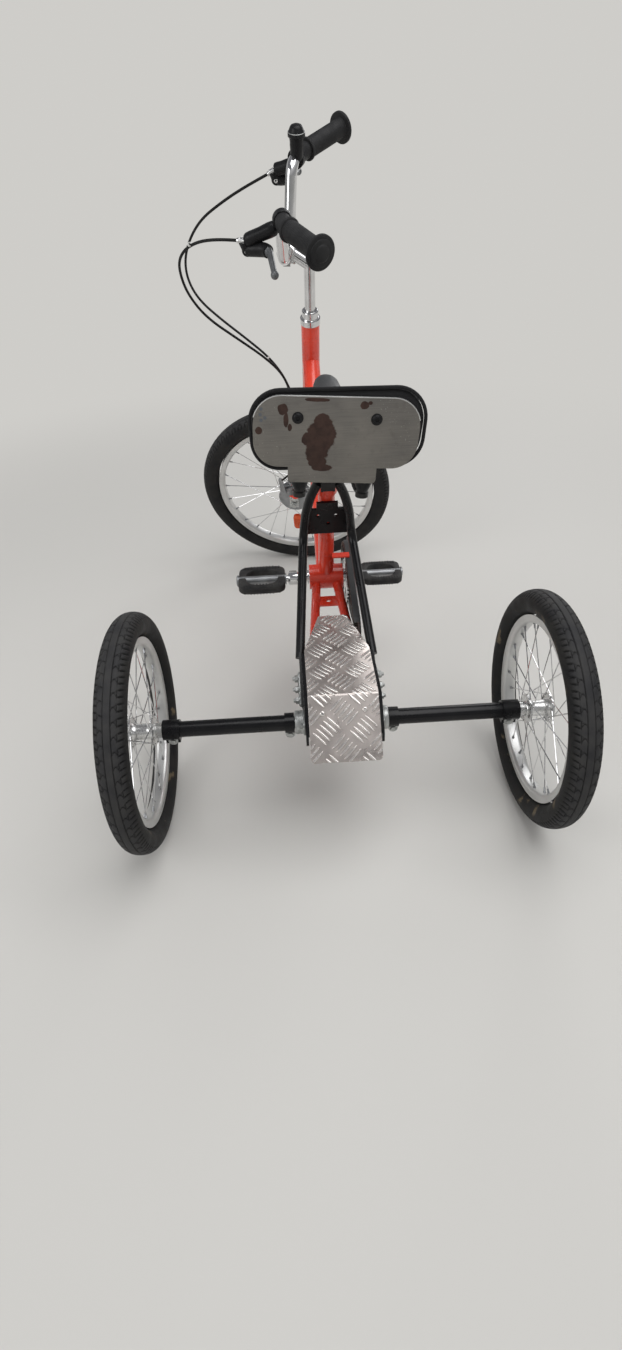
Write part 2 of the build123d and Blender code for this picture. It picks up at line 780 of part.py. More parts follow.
def handlebar():
    """Chrome riser bar with swept back ends."""
    left = [(-x, y, z) for x, y, z in reversed(bar_half)]
    return bent_bar(left + bar_half, [60, 28, 30, 30, 28, 60], bar_radius)


def stem():
    """Quill stem with its clamp and bolt, and the headset's locknut."""
    low = stem_height - 26
    whole = column(quill_radius, head_tube_high - 30, low)
    whole = whole + rod((0, 0, low), (0, stem_reach, stem_height), quill_radius)
    whole = whole + Pos(0, 0, low) * Sphere(quill_radius)
    clamp = disc(bar_radius + 6, -19, 19) + Pos(0, 0, -19) * Box(22, 14, 14)
    clamp = clamp + Pos(0, 0, -21) * Rot(90, 0, 0) * Cylinder(4.5, 26)
    place = Pos(0, stem_reach, stem_height)
    whole = whole + place * clamp - place * disc(bar_radius + running_gap, -30, 30)
    nut_low = head_tube_high + upper_cup_height + seat_gap
    nut_bore = column(steerer_radius + running_gap, nut_low - 1, nut_low + 15)
    return [whole, column(17, nut_low, nut_low + 14) - nut_bore]


bar_end = Vector(*bar_half[-1])
grip_run = (bar_end - Vector(*bar_half[-2])).normalized()
grip_place = Plane(origin=bar_end, z_dir=grip_run).location
bar_bend = Vector(*bar_half[1])
bar_run = (Vector(*bar_half[2]) - bar_bend).normalized()
lever_on_bar = bar_bend + bar_run * ((lever_across - bar_bend.X) / bar_run.X)


def grip():
    """Right rubber grip with a flange and a large stepped end."""
    sleeve = column(grip_radius, -grip_length, 0) + column(grip_radius + 3, -grip_length, -grip_length + 5)
    sleeve = sleeve + column(grip_radius + 10, 0, 6)
    sleeve = sleeve + column(grip_radius + 4, 6, 9) + column(grip_radius - 3, 9, 12)
    return grip_place * (sleeve - column(bar_radius + seat_gap, -grip_length - 1, seat_gap))


def brake_lever(side, cable_start, cable_next):
    """A brake lever. Its blade is hinged at the body's far end and turns back to a ball end."""
    start, following = Vector(*cable_start), Vector(*cable_next)
    back = (start - following).normalized()
    middle_of_clamp = Vector(lever_on_bar.X * side, lever_on_bar.Y, lever_on_bar.Z)
    along_bar = Vector(bar_run.X * side, bar_run.Y, bar_run.Z)
    place = Plane(origin=middle_of_clamp, z_dir=along_bar).location
    ring = place * (column(bar_radius + 5, -6, 6) - column(bar_radius + running_gap, -7, 7))
    body_end = start + back * 16
    body_start = middle_of_clamp + Vector(0, 12, -12)
    body = rod(body_start, body_end, lever_body_radius)
    adjuster = rod(start, body_end + back * 4, 4.5)
    pivot = body_end + Vector(0, -2, -lever_body_radius - 5)
    knee = pivot + (body_start - body_end) * 0.75 + Vector(side * 13, 0, -lever_body_radius)
    ball = middle_of_clamp + Vector(side * 76.5, 6.2, -50)
    cheek = rod(body_end - back * 3, pivot, lever_body_radius - 1)
    hinge = Pos(*pivot) * Rot(0, 90, 0) * Cylinder(lever_body_radius, 14)
    root = rod(pivot, knee, lever_blade_radius + 2)
    blade = bent_bar([tuple(pivot), tuple(knee), tuple(ball)], [16], lever_blade_radius)
    return ring + body + adjuster + cheek + hinge + root + blade + Pos(*ball) * Sphere(7)


def bell():
    """Small black bell over the right brake lever, on a band round the bar."""
    centre = lever_on_bar + bar_run * 10.8
    place = Plane(origin=centre, z_dir=bar_run).location
    band = place * (column(bar_radius + 2.5, -2, 2) - column(bar_radius + running_gap, -3, 3))
    foot = centre + Vector(-18.8, 1.3, 36)
    elbow = centre + Vector(0, 0, bar_radius + 9)
    stalk_foot = centre + Vector(0, 0, bar_radius + 1)
    stalk = bent_bar([tuple(stalk_foot), tuple(elbow), tuple(foot + Vector(0, 0, 2))], [5], 3)
    dome = polygon([(0, -15), (12, -15), (13.5, 0), (16, 0), (16, 6), (11, 15), (0, 18)])
    return band + stalk + Pos(*foot) * revolve(Plane.XZ.location * dome, Axis.Z)


# Brake cables, in the steering frame. Their routes follow the loops in front of the handlebar.
right_cable_route = [
    (118, 90, 681), (111, 140, 660), (102, 190, 634), (93, 226, 612), (83, 252, 582),
    (73, 268, 546), (62, 266, 510), (51, 245, 475), (42, 200, 440), (33, 148, 405),
    (25, 98, 368), (12, 66, 334), (-8, 48, 309), (-22, 36, 296),
]
left_cable_route = [
    (-118, 114, 674), (-110, 158, 672), (-99, 205, 656), (-88, 233, 626), (-77, 238, 588),
    (-68, 230, 546), (-58, 204, 500), (-48, 152, 455), (-39, 98, 410), (-29, 62, 366),
    (-29, 46, 324), (-46, 42, 288), (-60, 30, 252), (-57, 22, 208), (-52, 21, 164),
    (-50, 33, 124), (-47, 56, 94), (-42, 76, 70),
]


def cable(route):
    """One brake cable; prints its bend radii and how its volume compares with its length."""
    radii = largest_radii(route)
    path = FilletPolyline(*route, radius=radii)
    tube = bent_bar(route, radii, cable_radius)
    expected = pi * cable_radius ** 2 * path.length
    print("cable length", round(path.length, 1), "volume share", round(tube.volume / expected, 4))
    print("radii", [round(radius, 1) for radius in radii])
    return tube


# Seat

def saddle():
    """Broad saddle with a narrow nose, as one plain cushion laid out from the seat post's end."""
    high = saddle_thickness
    right = [
        Line((0, -122), (48, -122)), ThreePointArc((48, -122), (80, -88), (64, -38)),
        ThreePointArc((64, -38), (37, 18), (27, 86)), ThreePointArc((27, 86), (19, 128), (0, 141)),
    ]
    left = [mirror(edge, about=Plane.YZ) for edge in right]
    plan = make_face(right + left)
    side = Plane.YZ.location * polygon([
        (-124, 0), (-44, 0), (46, 8), (142, 4), (142, high - 12), (116, high - 4),
        (6, high - 12), (-74, high), (-124, high - 6),
    ])
    block = extrude(plan, amount=high) & extrude(side, amount=100, both=True)
    return roll_place * Pos(0, seat_forward, saddle_low) * block


def saddle_frame():
    """Steel rails from the nose past the clamp to the feet of the springs, and the rear pan."""
    pieces = []
    nose = seat_forward + 96
    for side in (-1, 1):
        rail = [
            (side * 10, nose, saddle_low), (side * rail_spread, nose - 55, rail_height),
            (side * rail_spread, seat_forward - 48, rail_height),
            (side * 40, spring_forward + 25, spring_low - 6),
            (side * spring_spread, spring_forward, spring_low - 6),
        ]
        pieces.append(bent_bar(rail, largest_radii(rail), rail_radius))
        pieces.append(Pos(side * spring_spread, spring_forward, 0) * column(10, spring_low - 8, spring_low))
    pan = Pos(0, spring_forward, saddle_low - seat_gap - 1.5) * Box(2 * spring_spread + 30, 34, 3)
    bar = Pos(0, nose, saddle_low + 3.2) * Box(30, 14, 4)
    return [roll_place * (bar + pieces), roll_place * pan]


def saddle_springs():
    """The two rear springs, as plain barrels with a cup at each end."""
    high = saddle_low - seat_gap - 3
    r = spring_radius
    outline = [
        (0, spring_low), (r, spring_low), (r, spring_low + 8), (r - 3, spring_low + 14),
        (r - 3, high - 14), (r, high - 8), (r, high), (0, high),
    ]
    spring = revolve(Plane.XZ.location * polygon(outline), Axis.Z)
    return [roll_place * Pos(side * spring_spread, spring_forward, 0) * spring for side in (-1, 1)]


def seat_post():
    """Chrome seat post with the saddle clamp at its top."""
    post = seat_place * column(seat_post_radius, 90, seat_post_length + 2)
    head_block = disc(seat_post_head, -rail_spread - 9, rail_spread + 9)
    head_block = Pos(0, seat_forward, rail_height) * head_block
    for side in (-1, 1):
        groove = Pos(side * rail_spread, seat_forward, rail_height) * Rot(90, 0, 0)
        head_block = head_block - groove * Cylinder(rail_radius + running_gap, 60)
    return post + roll_place * head_block


def backrest_outline(spare):
    """Face of the backrest, seen from behind, grown by a margin at the top and sides."""
    half = backrest_width / 2
    high = backrest_low + backrest_height
    top, bottom = 37, 33
    corners = []
    for side in (-1, 1):
        corners.append((side * (half - top), high - top, top + spare))
        corners.append((side * (half - bottom), backrest_low + bottom, bottom + spare))
    return round_ends(*corners)


def backrest_plate():
    """Bare metal plate at the back of the backrest, with a tab below and two bolts."""
    back = Plane(origin=(0, backrest_forward, 0), x_dir=(1, 0, 0), z_dir=(0, -1, 0))
    face = backrest_outline(0)
    tab_height = backrest_tab_depth + 20
    tab = Pos(backrest_tab_across, backrest_low + 20 - tab_height / 2)
    tab = tab * RectangleRounded(backrest_tab_width, tab_height, 5)
    plate = extrude(back.location * (face + tab), amount=backrest_plate_thickness)
    bolts = []
    for x in (-51, 51):
        place = Pos(x, backrest_forward - backrest_plate_thickness - 1.5, backrest_low + 64)
        bolts.append(place * Rot(90, 0, 0) * Cylinder(6, 3))
    return backrest_place * (plate + bolts)


def backrest_pad():
    """Cushion in front of the plate."""
    back = Plane(origin=(0, backrest_forward + seat_gap, 0), x_dir=(1, 0, 0), z_dir=(0, -1, 0))
    return backrest_place * extrude(back.location * backrest_outline(3), amount=-backrest_pad_thickness)


def backrest_arm():
    """Flat steel arm from the seat post to the backrest's tab."""
    eye_low = seat_post_length - 30
    eye = column(seat_post_radius + 8, eye_low, eye_low + backrest_arm_thickness)
    eye = seat_place * eye
    eye_back = in_seat_tube(0, -seat_post_radius - 3, eye_low)
    tab_height = backrest_low - backrest_tab_depth / 2 - 2
    flange_front = backrest_forward + 4
    side = polygon([
        (eye_back.Y, eye_back.Z), (eye_back.Y, eye_back.Z + backrest_arm_thickness),
        (flange_front + 6, tab_height + 4), (flange_front - 1, tab_height + 4),
        (flange_front - 1, tab_height - 1), (flange_front + 6, tab_height - 1),
    ])
    bar = in_side_view(side, -15, 15)
    flange = Pos(backrest_tab_across, backrest_forward + 2, tab_height) * Box(backrest_tab_width - 10, 4, 16)
    bore = seat_place * column(seat_post_radius + running_gap, eye_low - 40, eye_low + 40)
    return roll_place * bar + backrest_place * flange + eye - bore


# Every piece, by name
rear_right = Pos(half_track, 0, rear_axle_height)
right_tyre = rear_right * tyre(rear_tyre_radius, rear_tyre_width, rear_rim_radius)
right_rim = rear_right * rim(rear_rim_radius)
right_hub = rear_right * rear_hub()
sprocket = Pos(0, 0, rear_axle_height) * (
    toothed_ring(sprocket_radius, sprocket_teeth) + disc(17, chain_line - 8, chain_line + 4)
    - disc(axle_radius, chain_line - 20, chain_line + 20)
)
left_journal = plate_inside + 1
right_journal = -dropout_inside + 2
right_stay, right_side, right_housing = arch_stay(), side_plate(), bearing_housing()
right_strap = side_strap()
left_crank = Pos(*bracket_centre) * Rot(180, 0, 0) * crank_arm()
spindle = Pos(*bracket_centre) * disc(spindle_radius, -crank_inside, crank_inside)
cap = Pos(*bracket_centre) * disc(14, bracket_shell_width / 2 + moving_gap, bracket_shell_width / 2 + 4)
right_pedal = bracket_centre + pedal_step
left_pedal = bracket_centre - pedal_step
front_wheel = Pos(0, fork_rake, 0)

pieces = {
    "main_frame": main_frame(),
    "headset_cups": headset_cups(),
    "adapter_bracket": adapter_bracket(),
    "adapter_collar": adapter_collar(),
    "adapter_stay_right": right_stay,
    "adapter_stay_left": mirrored(right_stay),
    "side_plate_right": right_side,
    "side_plate_left": mirrored(right_side),
    "side_straps": [right_strap, mirrored(right_strap)],
    "tread_plate": tread_plate(),
    "bearing_housings": [right_housing, mirrored(right_housing)],
    "chain_guard": chain_guard(),
    "chain": chain(),
    "seat_post": seat_post(),
    "saddle": saddle(),
    "saddle_frame": saddle_frame(),
    "saddle_springs": saddle_springs(),
    "backrest_plate": backrest_plate(),
    "backrest_pad": backrest_pad(),
    "backrest_arm": backrest_arm(),
    "rear_tyre_right": right_tyre,
    "rear_rim_right": right_rim,
    "rear_hub_right": right_hub,
    "rear_axle_tube_right": axle_tube(right_journal),
    "rear_sprocket": sprocket,
    "rear_tyre_left": mirrored(right_tyre),
    "rear_rim_left": mirrored(right_rim),
    "rear_hub_left": mirrored(right_hub),
    "rear_axle_tube_left": mirrored(axle_tube(left_journal)),
    "crank_spindle": spindle + cap + mirrored(cap),
    "crank_right": crank_right(),
    "crank_left": mirrored(left_crank),
    "pedal_frame_right": Pos(0, right_pedal.Y, right_pedal.Z) * pedal_frame(),
    "pedal_rubbers_right": Pos(0, right_pedal.Y, right_pedal.Z) * pedal_rubbers(),
    "pedal_frame_left": mirrored(Pos(0, left_pedal.Y, left_pedal.Z) * pedal_frame()),
    "pedal_rubbers_left": mirrored(Pos(0, left_pedal.Y, left_pedal.Z) * pedal_rubbers()),
}

steered = {
    "fork": fork(),
    "front_axle": front_axle(),
    "front_tyre": front_wheel * tyre(front_tyre_radius, front_tyre_width, front_rim_radius),
    "front_rim": front_wheel * rim(front_rim_radius),
    "front_hub": front_hub(),
    "drum_brake_plate": brake_plate(),
    "rim_brake": caliper(),
    "stem": stem(),
    "handlebar": handlebar(),
    "grip_right": grip(),
    "grip_left": mirrored(grip()),
    "brake_lever_right": brake_lever(1, *right_cable_route[:2]),
    "brake_lever_left": brake_lever(-1, *left_cable_route[:2]),
    "bell": bell(),
    "cable_right": cable(right_cable_route),
    "cable_left": cable(left_cable_route),
}

os.makedirs("parts", exist_ok=True)
to_origin = Pos(0, -middle, 0)
for group, place in ((pieces, to_origin), (steered, to_origin * steering_place)):
    for name, piece in group.items():
        parts = piece if isinstance(piece, list) else [piece]
        solids = [solid for part in parts for solid in (place * part).solids()]
        export_step(Compound(solids), f"parts/{name}.step")
print("middle", round(middle, 3), "front reach", round(front_reach, 3))
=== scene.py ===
# %% [markdown]
# # A child's adaptive tricycle
# The front half is a small bicycle. In place of its rear wheel a bolted carrier holds two axle tubes
# with a wheel each, and a metal plate behind the saddle carries a backrest pad. The solids come from
# a CAD model with the right sizes. This script dresses them: it gives every surface its finish, and
# builds what a CAD model leaves plain, such as tread, spokes, chain links, vinyl and cloth.
#
# Nothing below moves them, and the box round them is kept.

# %% Load the frame
import json
import math

import bmesh
import bpy
from mathutils import Matrix, Vector


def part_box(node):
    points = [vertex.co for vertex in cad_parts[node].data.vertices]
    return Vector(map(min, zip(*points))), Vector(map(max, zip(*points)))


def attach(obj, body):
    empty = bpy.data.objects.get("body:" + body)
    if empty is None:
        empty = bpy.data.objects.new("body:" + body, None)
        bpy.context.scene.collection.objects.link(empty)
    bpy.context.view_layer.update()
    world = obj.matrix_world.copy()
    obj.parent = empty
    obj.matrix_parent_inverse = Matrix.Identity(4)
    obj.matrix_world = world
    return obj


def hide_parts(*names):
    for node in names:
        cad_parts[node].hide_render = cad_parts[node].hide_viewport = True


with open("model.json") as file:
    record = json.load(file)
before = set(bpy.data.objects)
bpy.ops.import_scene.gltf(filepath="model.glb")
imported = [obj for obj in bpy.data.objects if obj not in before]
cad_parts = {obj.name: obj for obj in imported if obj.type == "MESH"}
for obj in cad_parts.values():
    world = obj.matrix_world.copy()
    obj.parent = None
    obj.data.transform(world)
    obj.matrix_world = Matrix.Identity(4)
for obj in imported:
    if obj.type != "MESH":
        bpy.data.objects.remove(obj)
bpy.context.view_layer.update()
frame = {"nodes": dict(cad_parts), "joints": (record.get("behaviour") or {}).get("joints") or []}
joint_facts = {joint["name"]: joint for joint in frame["joints"]}

# %% [markdown]
# Every place on the machine is written in millimetres, from the floor below the middle of the rear
# axle. What turns with the handlebar has a frame of its own: to the right, ahead and up along the
# fork. Both frames are read from the model's joints, so a change there moves the dressing too. The
# saddle and the backrest have a third one, because on this machine they lean a little to the right.

# %% Places on the machine
MM = 0.001
right_wheel = Vector(joint_facts["rear_wheel_right_spin"]["pos_m"])
left_wheel = Vector(joint_facts["rear_wheel_left_spin"]["pos_m"])
front_wheel = Vector(joint_facts["front_wheel_spin"]["pos_m"])
FORK_RAKE = 46.0

fork_up = Vector(joint_facts["steering_turn"]["axis"])
fork_right = Vector(joint_facts["front_wheel_spin"]["axis"])
fork_ahead = fork_up.cross(fork_right)


def axes(point, across, ahead, up):
    """A place as a matrix, from a point and its three directions."""
    turn = Matrix((across, ahead, up)).transposed().to_4x4()
    return Matrix.Translation(point) @ turn


def shift(x, y, z):
    """A move by millimetres."""
    return Matrix.Translation(Vector((x, y, z)) * MM)


def heading(turn):
    """The direction of an angle in a flat plane."""
    return Vector((math.cos(turn), math.sin(turn)))


fork_frame = axes(front_wheel - fork_ahead * FORK_RAKE * MM, fork_right, fork_ahead, fork_up)
machine = Matrix.Translation((0, right_wheel.y, 0))
SEAT_ROLL_HEIGHT, SEAT_ROLL = 540.0, 4.0
seat_roll = (
    shift(0, 0, SEAT_ROLL_HEIGHT)
    @ Matrix.Rotation(math.radians(SEAT_ROLL), 4, "Y")
    @ shift(0, 0, -SEAT_ROLL_HEIGHT)
)


def spot(x, y, z):
    """A point on the machine, from millimetres to metres."""
    return machine @ (Vector((x, y, z)) * MM)


def fork_spot(x, y, z):
    """A point that turns with the fork, from millimetres to metres."""
    return fork_frame @ (Vector((x, y, z)) * MM)


def stand(point, along, sideways=(1, 0, 0)):
    """A place whose Z runs along a direction, for a part that is drawn upright."""
    along = Vector(along).normalized()
    sideways = Vector(sideways)
    if abs(along.dot(sideways.normalized())) > 0.95:
        sideways = Vector((0, 1, 0))
    sideways = (sideways - along * sideways.dot(along)).normalized()
    return axes(point, sideways, along.cross(sideways), along)


print("front wheel at", [round(x, 3) for x in front_wheel])

# %% [markdown]
# ## The view of the photograph
# The camera stands close behind the machine, at the height of the handlebar, and looks down on it.
# The lens is wide, so the near wheels look large. An eye could judge such a view by trial, but the
# outline of a wheel is a circle of a known size, so the numbers were fitted to the wheels' outlines.

# %% Camera
CAMERA_AT = (-0.065, -1.1921, 0.9276)
TURN_RIGHT, LOOK_DOWN, ROLL = 1.26, 38.44, 2.57
scene = bpy.context.scene
lens = bpy.data.cameras.new("Camera")
lens.sensor_fit = "VERTICAL"
lens.sensor_height = 36.0
lens.lens = 17.04
lens.clip_end = 200.0
camera = bpy.data.objects.new("Camera", lens)
scene.collection.objects.link(camera)
camera.matrix_world = (
    Matrix.Translation(CAMERA_AT)
    @ Matrix.Rotation(math.radians(-TURN_RIGHT), 4, "Z")
    @ Matrix.Rotation(math.radians(90 - LOOK_DOWN), 4, "X")
    @ Matrix.Rotation(math.radians(-ROLL), 4, "Z")
)
scene.camera = camera
scene.view_settings.view_transform = "Standard"
print("lens:", lens.lens, "mm, camera at", CAMERA_AT)

# %% [markdown]
# ## Light, room and floor
# Three large square lamps light the machine: one under the ceiling, one at the side and one ahead of
# it. A sun lamp would be quicker, but its shadows are hard, and so are the stripes that it draws on
# chrome. A large lamp gives soft shadows and broad highlights, as in a room with windows.

# %% Lamps


def area_light(name, at, aim, size, power):
    """A square soft lamp that faces a point."""
    lamp = bpy.data.lights.new(name, "AREA")
    lamp.shape = "SQUARE"
    lamp.size = size
    lamp.energy = power
    holder = bpy.data.objects.new(name, lamp)
    holder.location = at
    holder.rotation_euler = (Vector(aim) - Vector(at)).to_track_quat("-Z", "Y").to_euler()
    scene.collection.objects.link(holder)
    print(name, power, "W")


area_light("ceiling_lamp", (0.6, -0.6, 2.9), (0, 0, 0.3), 2.4, 48.0)
area_light("window_lamp", (-2.6, -1.4, 2.0), (0, 0, 0.4), 1.8, 26.0)
area_light("door_lamp", (1.6, 2.8, 1.9), (0, 0, 0.5), 1.6, 20.0)

# %% [markdown]
# A sky and a finish are both nets of nodes, and every node has sockets to link or to set. One helper
# does both and hands back an output. So a pattern reads line by line, as a recipe does.

# %% Wiring nodes


def plug(tree, node, inputs):
    """Links each named socket of a node to an output, or sets it to a value."""
    for name, value in inputs.items():
        if isinstance(value, bpy.types.NodeSocket):
            tree.links.new(value, node.inputs[name])
        else:
            node.inputs[name].default_value = value


def wired(tree, kind, inputs, output=0, **settings):
    """A new node with its sockets plugged. Hands back one of its outputs."""
    node = tree.nodes.new("ShaderNode" + kind)
    for setting, value in settings.items():
        setattr(node, setting, value)
    plug(tree, node, inputs)
    return node.outputs[output]


# %% [markdown]
# The room is a sky without a picture. It has three versions, and the kind of light ray picks one: a
# plain fill that lights the machine, a pale wall for the camera, and darker bands for reflections.
# Chrome shows only what is round it, and a room of one tone would leave it looking like grey paint.

# %% The room
HORIZON = (0.62, 0.61, 0.585)
world = bpy.data.worlds.new("Room")
scene.world = world
world.use_nodes = True
sky = world.node_tree
for old in list(sky.nodes):
    sky.nodes.remove(old)


def room_tones(strength, tones):
    """A background whose tone changes from the floor's level to overhead."""
    ramp = sky.nodes.new("ShaderNodeValToRGB")
    steps = ramp.color_ramp.elements
    steps[0].position, steps[0].color = tones[0][0], (*tones[0][1], 1)
    steps[1].position, steps[1].color = tones[-1][0], (*tones[-1][1], 1)
    for place, tone in tones[1:-1]:
        steps.new(place).color = (*tone, 1)
    direction = wired(sky, "TexCoord", {}, "Generated")
    plug(sky, ramp, {0: wired(sky, "SeparateXYZ", {0: direction}, "Z")})
    return wired(sky, "Background", {"Color": ramp.outputs[0], "Strength": strength})


soft_fill = room_tones(0.44, [(0.0, (1.0, 1.0, 1.0)), (1.0, (1.0, 1.0, 1.0))])
seen_wall = room_tones(1.0, [(0.0, HORIZON), (0.3, HORIZON), (1.0, (0.40, 0.41, 0.42))])
mirrored_room = room_tones(1.0, [
    (0.0, (0.34, 0.34, 0.33)), (0.18, (0.26, 0.26, 0.26)), (0.45, (0.50, 0.50, 0.50)),
    (0.62, (0.16, 0.16, 0.17)), (1.0, (0.22, 0.22, 0.23)),
])
rays = sky.nodes.new("ShaderNodeLightPath").outputs
wall_or_fill = wired(sky, "MixShader", {0: rays["Is Camera Ray"], 1: soft_fill, 2: seen_wall})
room = wired(sky, "MixShader", {0: rays["Is Glossy Ray"], 1: wall_or_fill, 2: mirrored_room})
sky.links.new(room, sky.nodes.new("ShaderNodeOutputWorld").inputs[0])
print("nodes in the sky:", len(sky.nodes))

# %% [markdown]
# The floor is one large plain square. Far away its paint gives way to the tone of the wall, so no
# line shows where they meet. A curved backdrop would do the same, but only from one side.

# %% The floor
FLOOR_HALF, FADE_FROM, FADE_TO = 40.0, 0.75, 2.7
floor_mesh = bpy.data.meshes.new("floor")
floor_mesh.from_pydata(
    [(x * FLOOR_HALF, y * FLOOR_HALF, 0) for x, y in ((-1, -1), (1, -1), (1, 1), (-1, 1))],
    [], [(0, 1, 2, 3)],
)
floor = bpy.data.objects.new("floor", floor_mesh)
scene.collection.objects.link(floor)
floor_paint = bpy.data.materials.new("pale_floor")
floor_paint.use_nodes = True
floor_tree = floor_paint.node_tree
floor_shader = floor_tree.nodes["Principled BSDF"]
plug(floor_tree, floor_shader, {"Base Color": (*HORIZON, 1), "Roughness": 0.7})
floor_place = wired(floor_tree, "TexCoord", {}, "Object")
from_middle = wired(floor_tree, "VectorMath", {0: floor_place}, "Value", operation="LENGTH")
far_away = wired(
    floor_tree, "MapRange", {"Value": from_middle, "From Min": FADE_FROM, "From Max": FADE_TO},
    "Result", interpolation_type="SMOOTHSTEP")
wall_tone = wired(floor_tree, "Emission", {"Color": (*HORIZON, 1)})
faded = wired(floor_tree, "MixShader", {0: far_away, 1: floor_shader.outputs[0], 2: wall_tone})
plug(floor_tree, floor_tree.nodes["Material Output"], {0: faded})
floor_mesh.materials.append(floor_paint)
print("floor fades from", FADE_FROM, "to", FADE_TO, "m")

# %% [markdown]
# ## Finishes
# Real paint, metal and rubber are never one flat colour. A photo could be wrapped round each part,
# but it would carry the light of one day with it. Here each finish is mixed from soft noise: broad
# patches, small flecks of wear, and a fine grain that also dents the surface.

# %% Patterns


def start_finish(name):
    """A new material, with its net of nodes and its shader."""
    material = bpy.data.materials.new(name)
    material.use_nodes = True
    tree = material.node_tree
    return material, tree, tree.nodes["Principled BSDF"]


def surface_place(tree):
    """Where a point of the surface is on the machine at rest."""
    return wired(tree, "TexCoord", {}, "Object")


def vector_sum(tree, operation, first, second=None, output=0):
    """A step of vector arithmetic."""
    inputs = {0: first} if second is None else {0: first, 1: second}
    return wired(tree, "VectorMath", inputs, output, operation=operation)


def ranged(tree, value, from_low, from_high, to_low, to_high):
    """A value moved from one range to another, and kept inside it."""
    return wired(tree, "MapRange", {"Value": value, "From Min": from_low, "From Max": from_high,
                                    "To Min": to_low, "To Max": to_high}, "Result")


def cloudy(tree, size_mm, low=0.4, high=0.6, detail=4.0, stretch=(1, 1, 1)):
    """Soft noise with patches of about a size: 0 where it is low, 1 where it is high."""
    scale = [way / (size_mm * MM) for way in stretch]
    scaled = wired(tree, "Mapping", {"Vector": surface_place(tree), "Scale": scale})
    texture = wired(tree, "TexNoise", {"Vector": scaled, "Scale": 1.0, "Detail": detail}, "Fac")
    return ranged(tree, texture, low, high, 0, 1)


# %% [markdown]
# Patterns are put together in three ways: one colour gives way to another, two patterns are multiplied
# so that both have to be there, or a pattern dents the surface. A dent is a trick of the light, which
# is right for a grain of a tenth of a millimetre. All that is larger is cut into the mesh.

# %% Mixing and denting


def blended(tree, factor, first, second):
    """Two colours mixed by a factor. Each is a colour or the output of another node."""
    first, second = ((*tone, 1) if isinstance(tone, tuple) else tone for tone in (first, second))
    return wired(tree, "Mix", {0: factor, 6: first, 7: second}, 2, data_type="RGBA")


def times(tree, first, second):
    """Two values multiplied. The second may be a plain number."""
    return wired(tree, "Math", {0: first, 1: second}, operation="MULTIPLY")


def dented(tree, shader, height, depth_mm, strength=0.6):
    """Lets a height pattern dent the surface, on top of what already does."""
    inputs = {"Height": height, "Distance": depth_mm * MM, "Strength": strength}
    earlier = shader.inputs["Normal"].links
    if earlier:
        inputs["Normal"] = earlier[0].from_socket
    plug(tree, shader, {"Normal": wired(tree, "Bump", inputs)})


# %% [markdown]
# One function makes most finishes, and a table holds what differs. A node tree for each would be
# freer, but in a table two finishes can be compared side by side, and a new one is one more row.

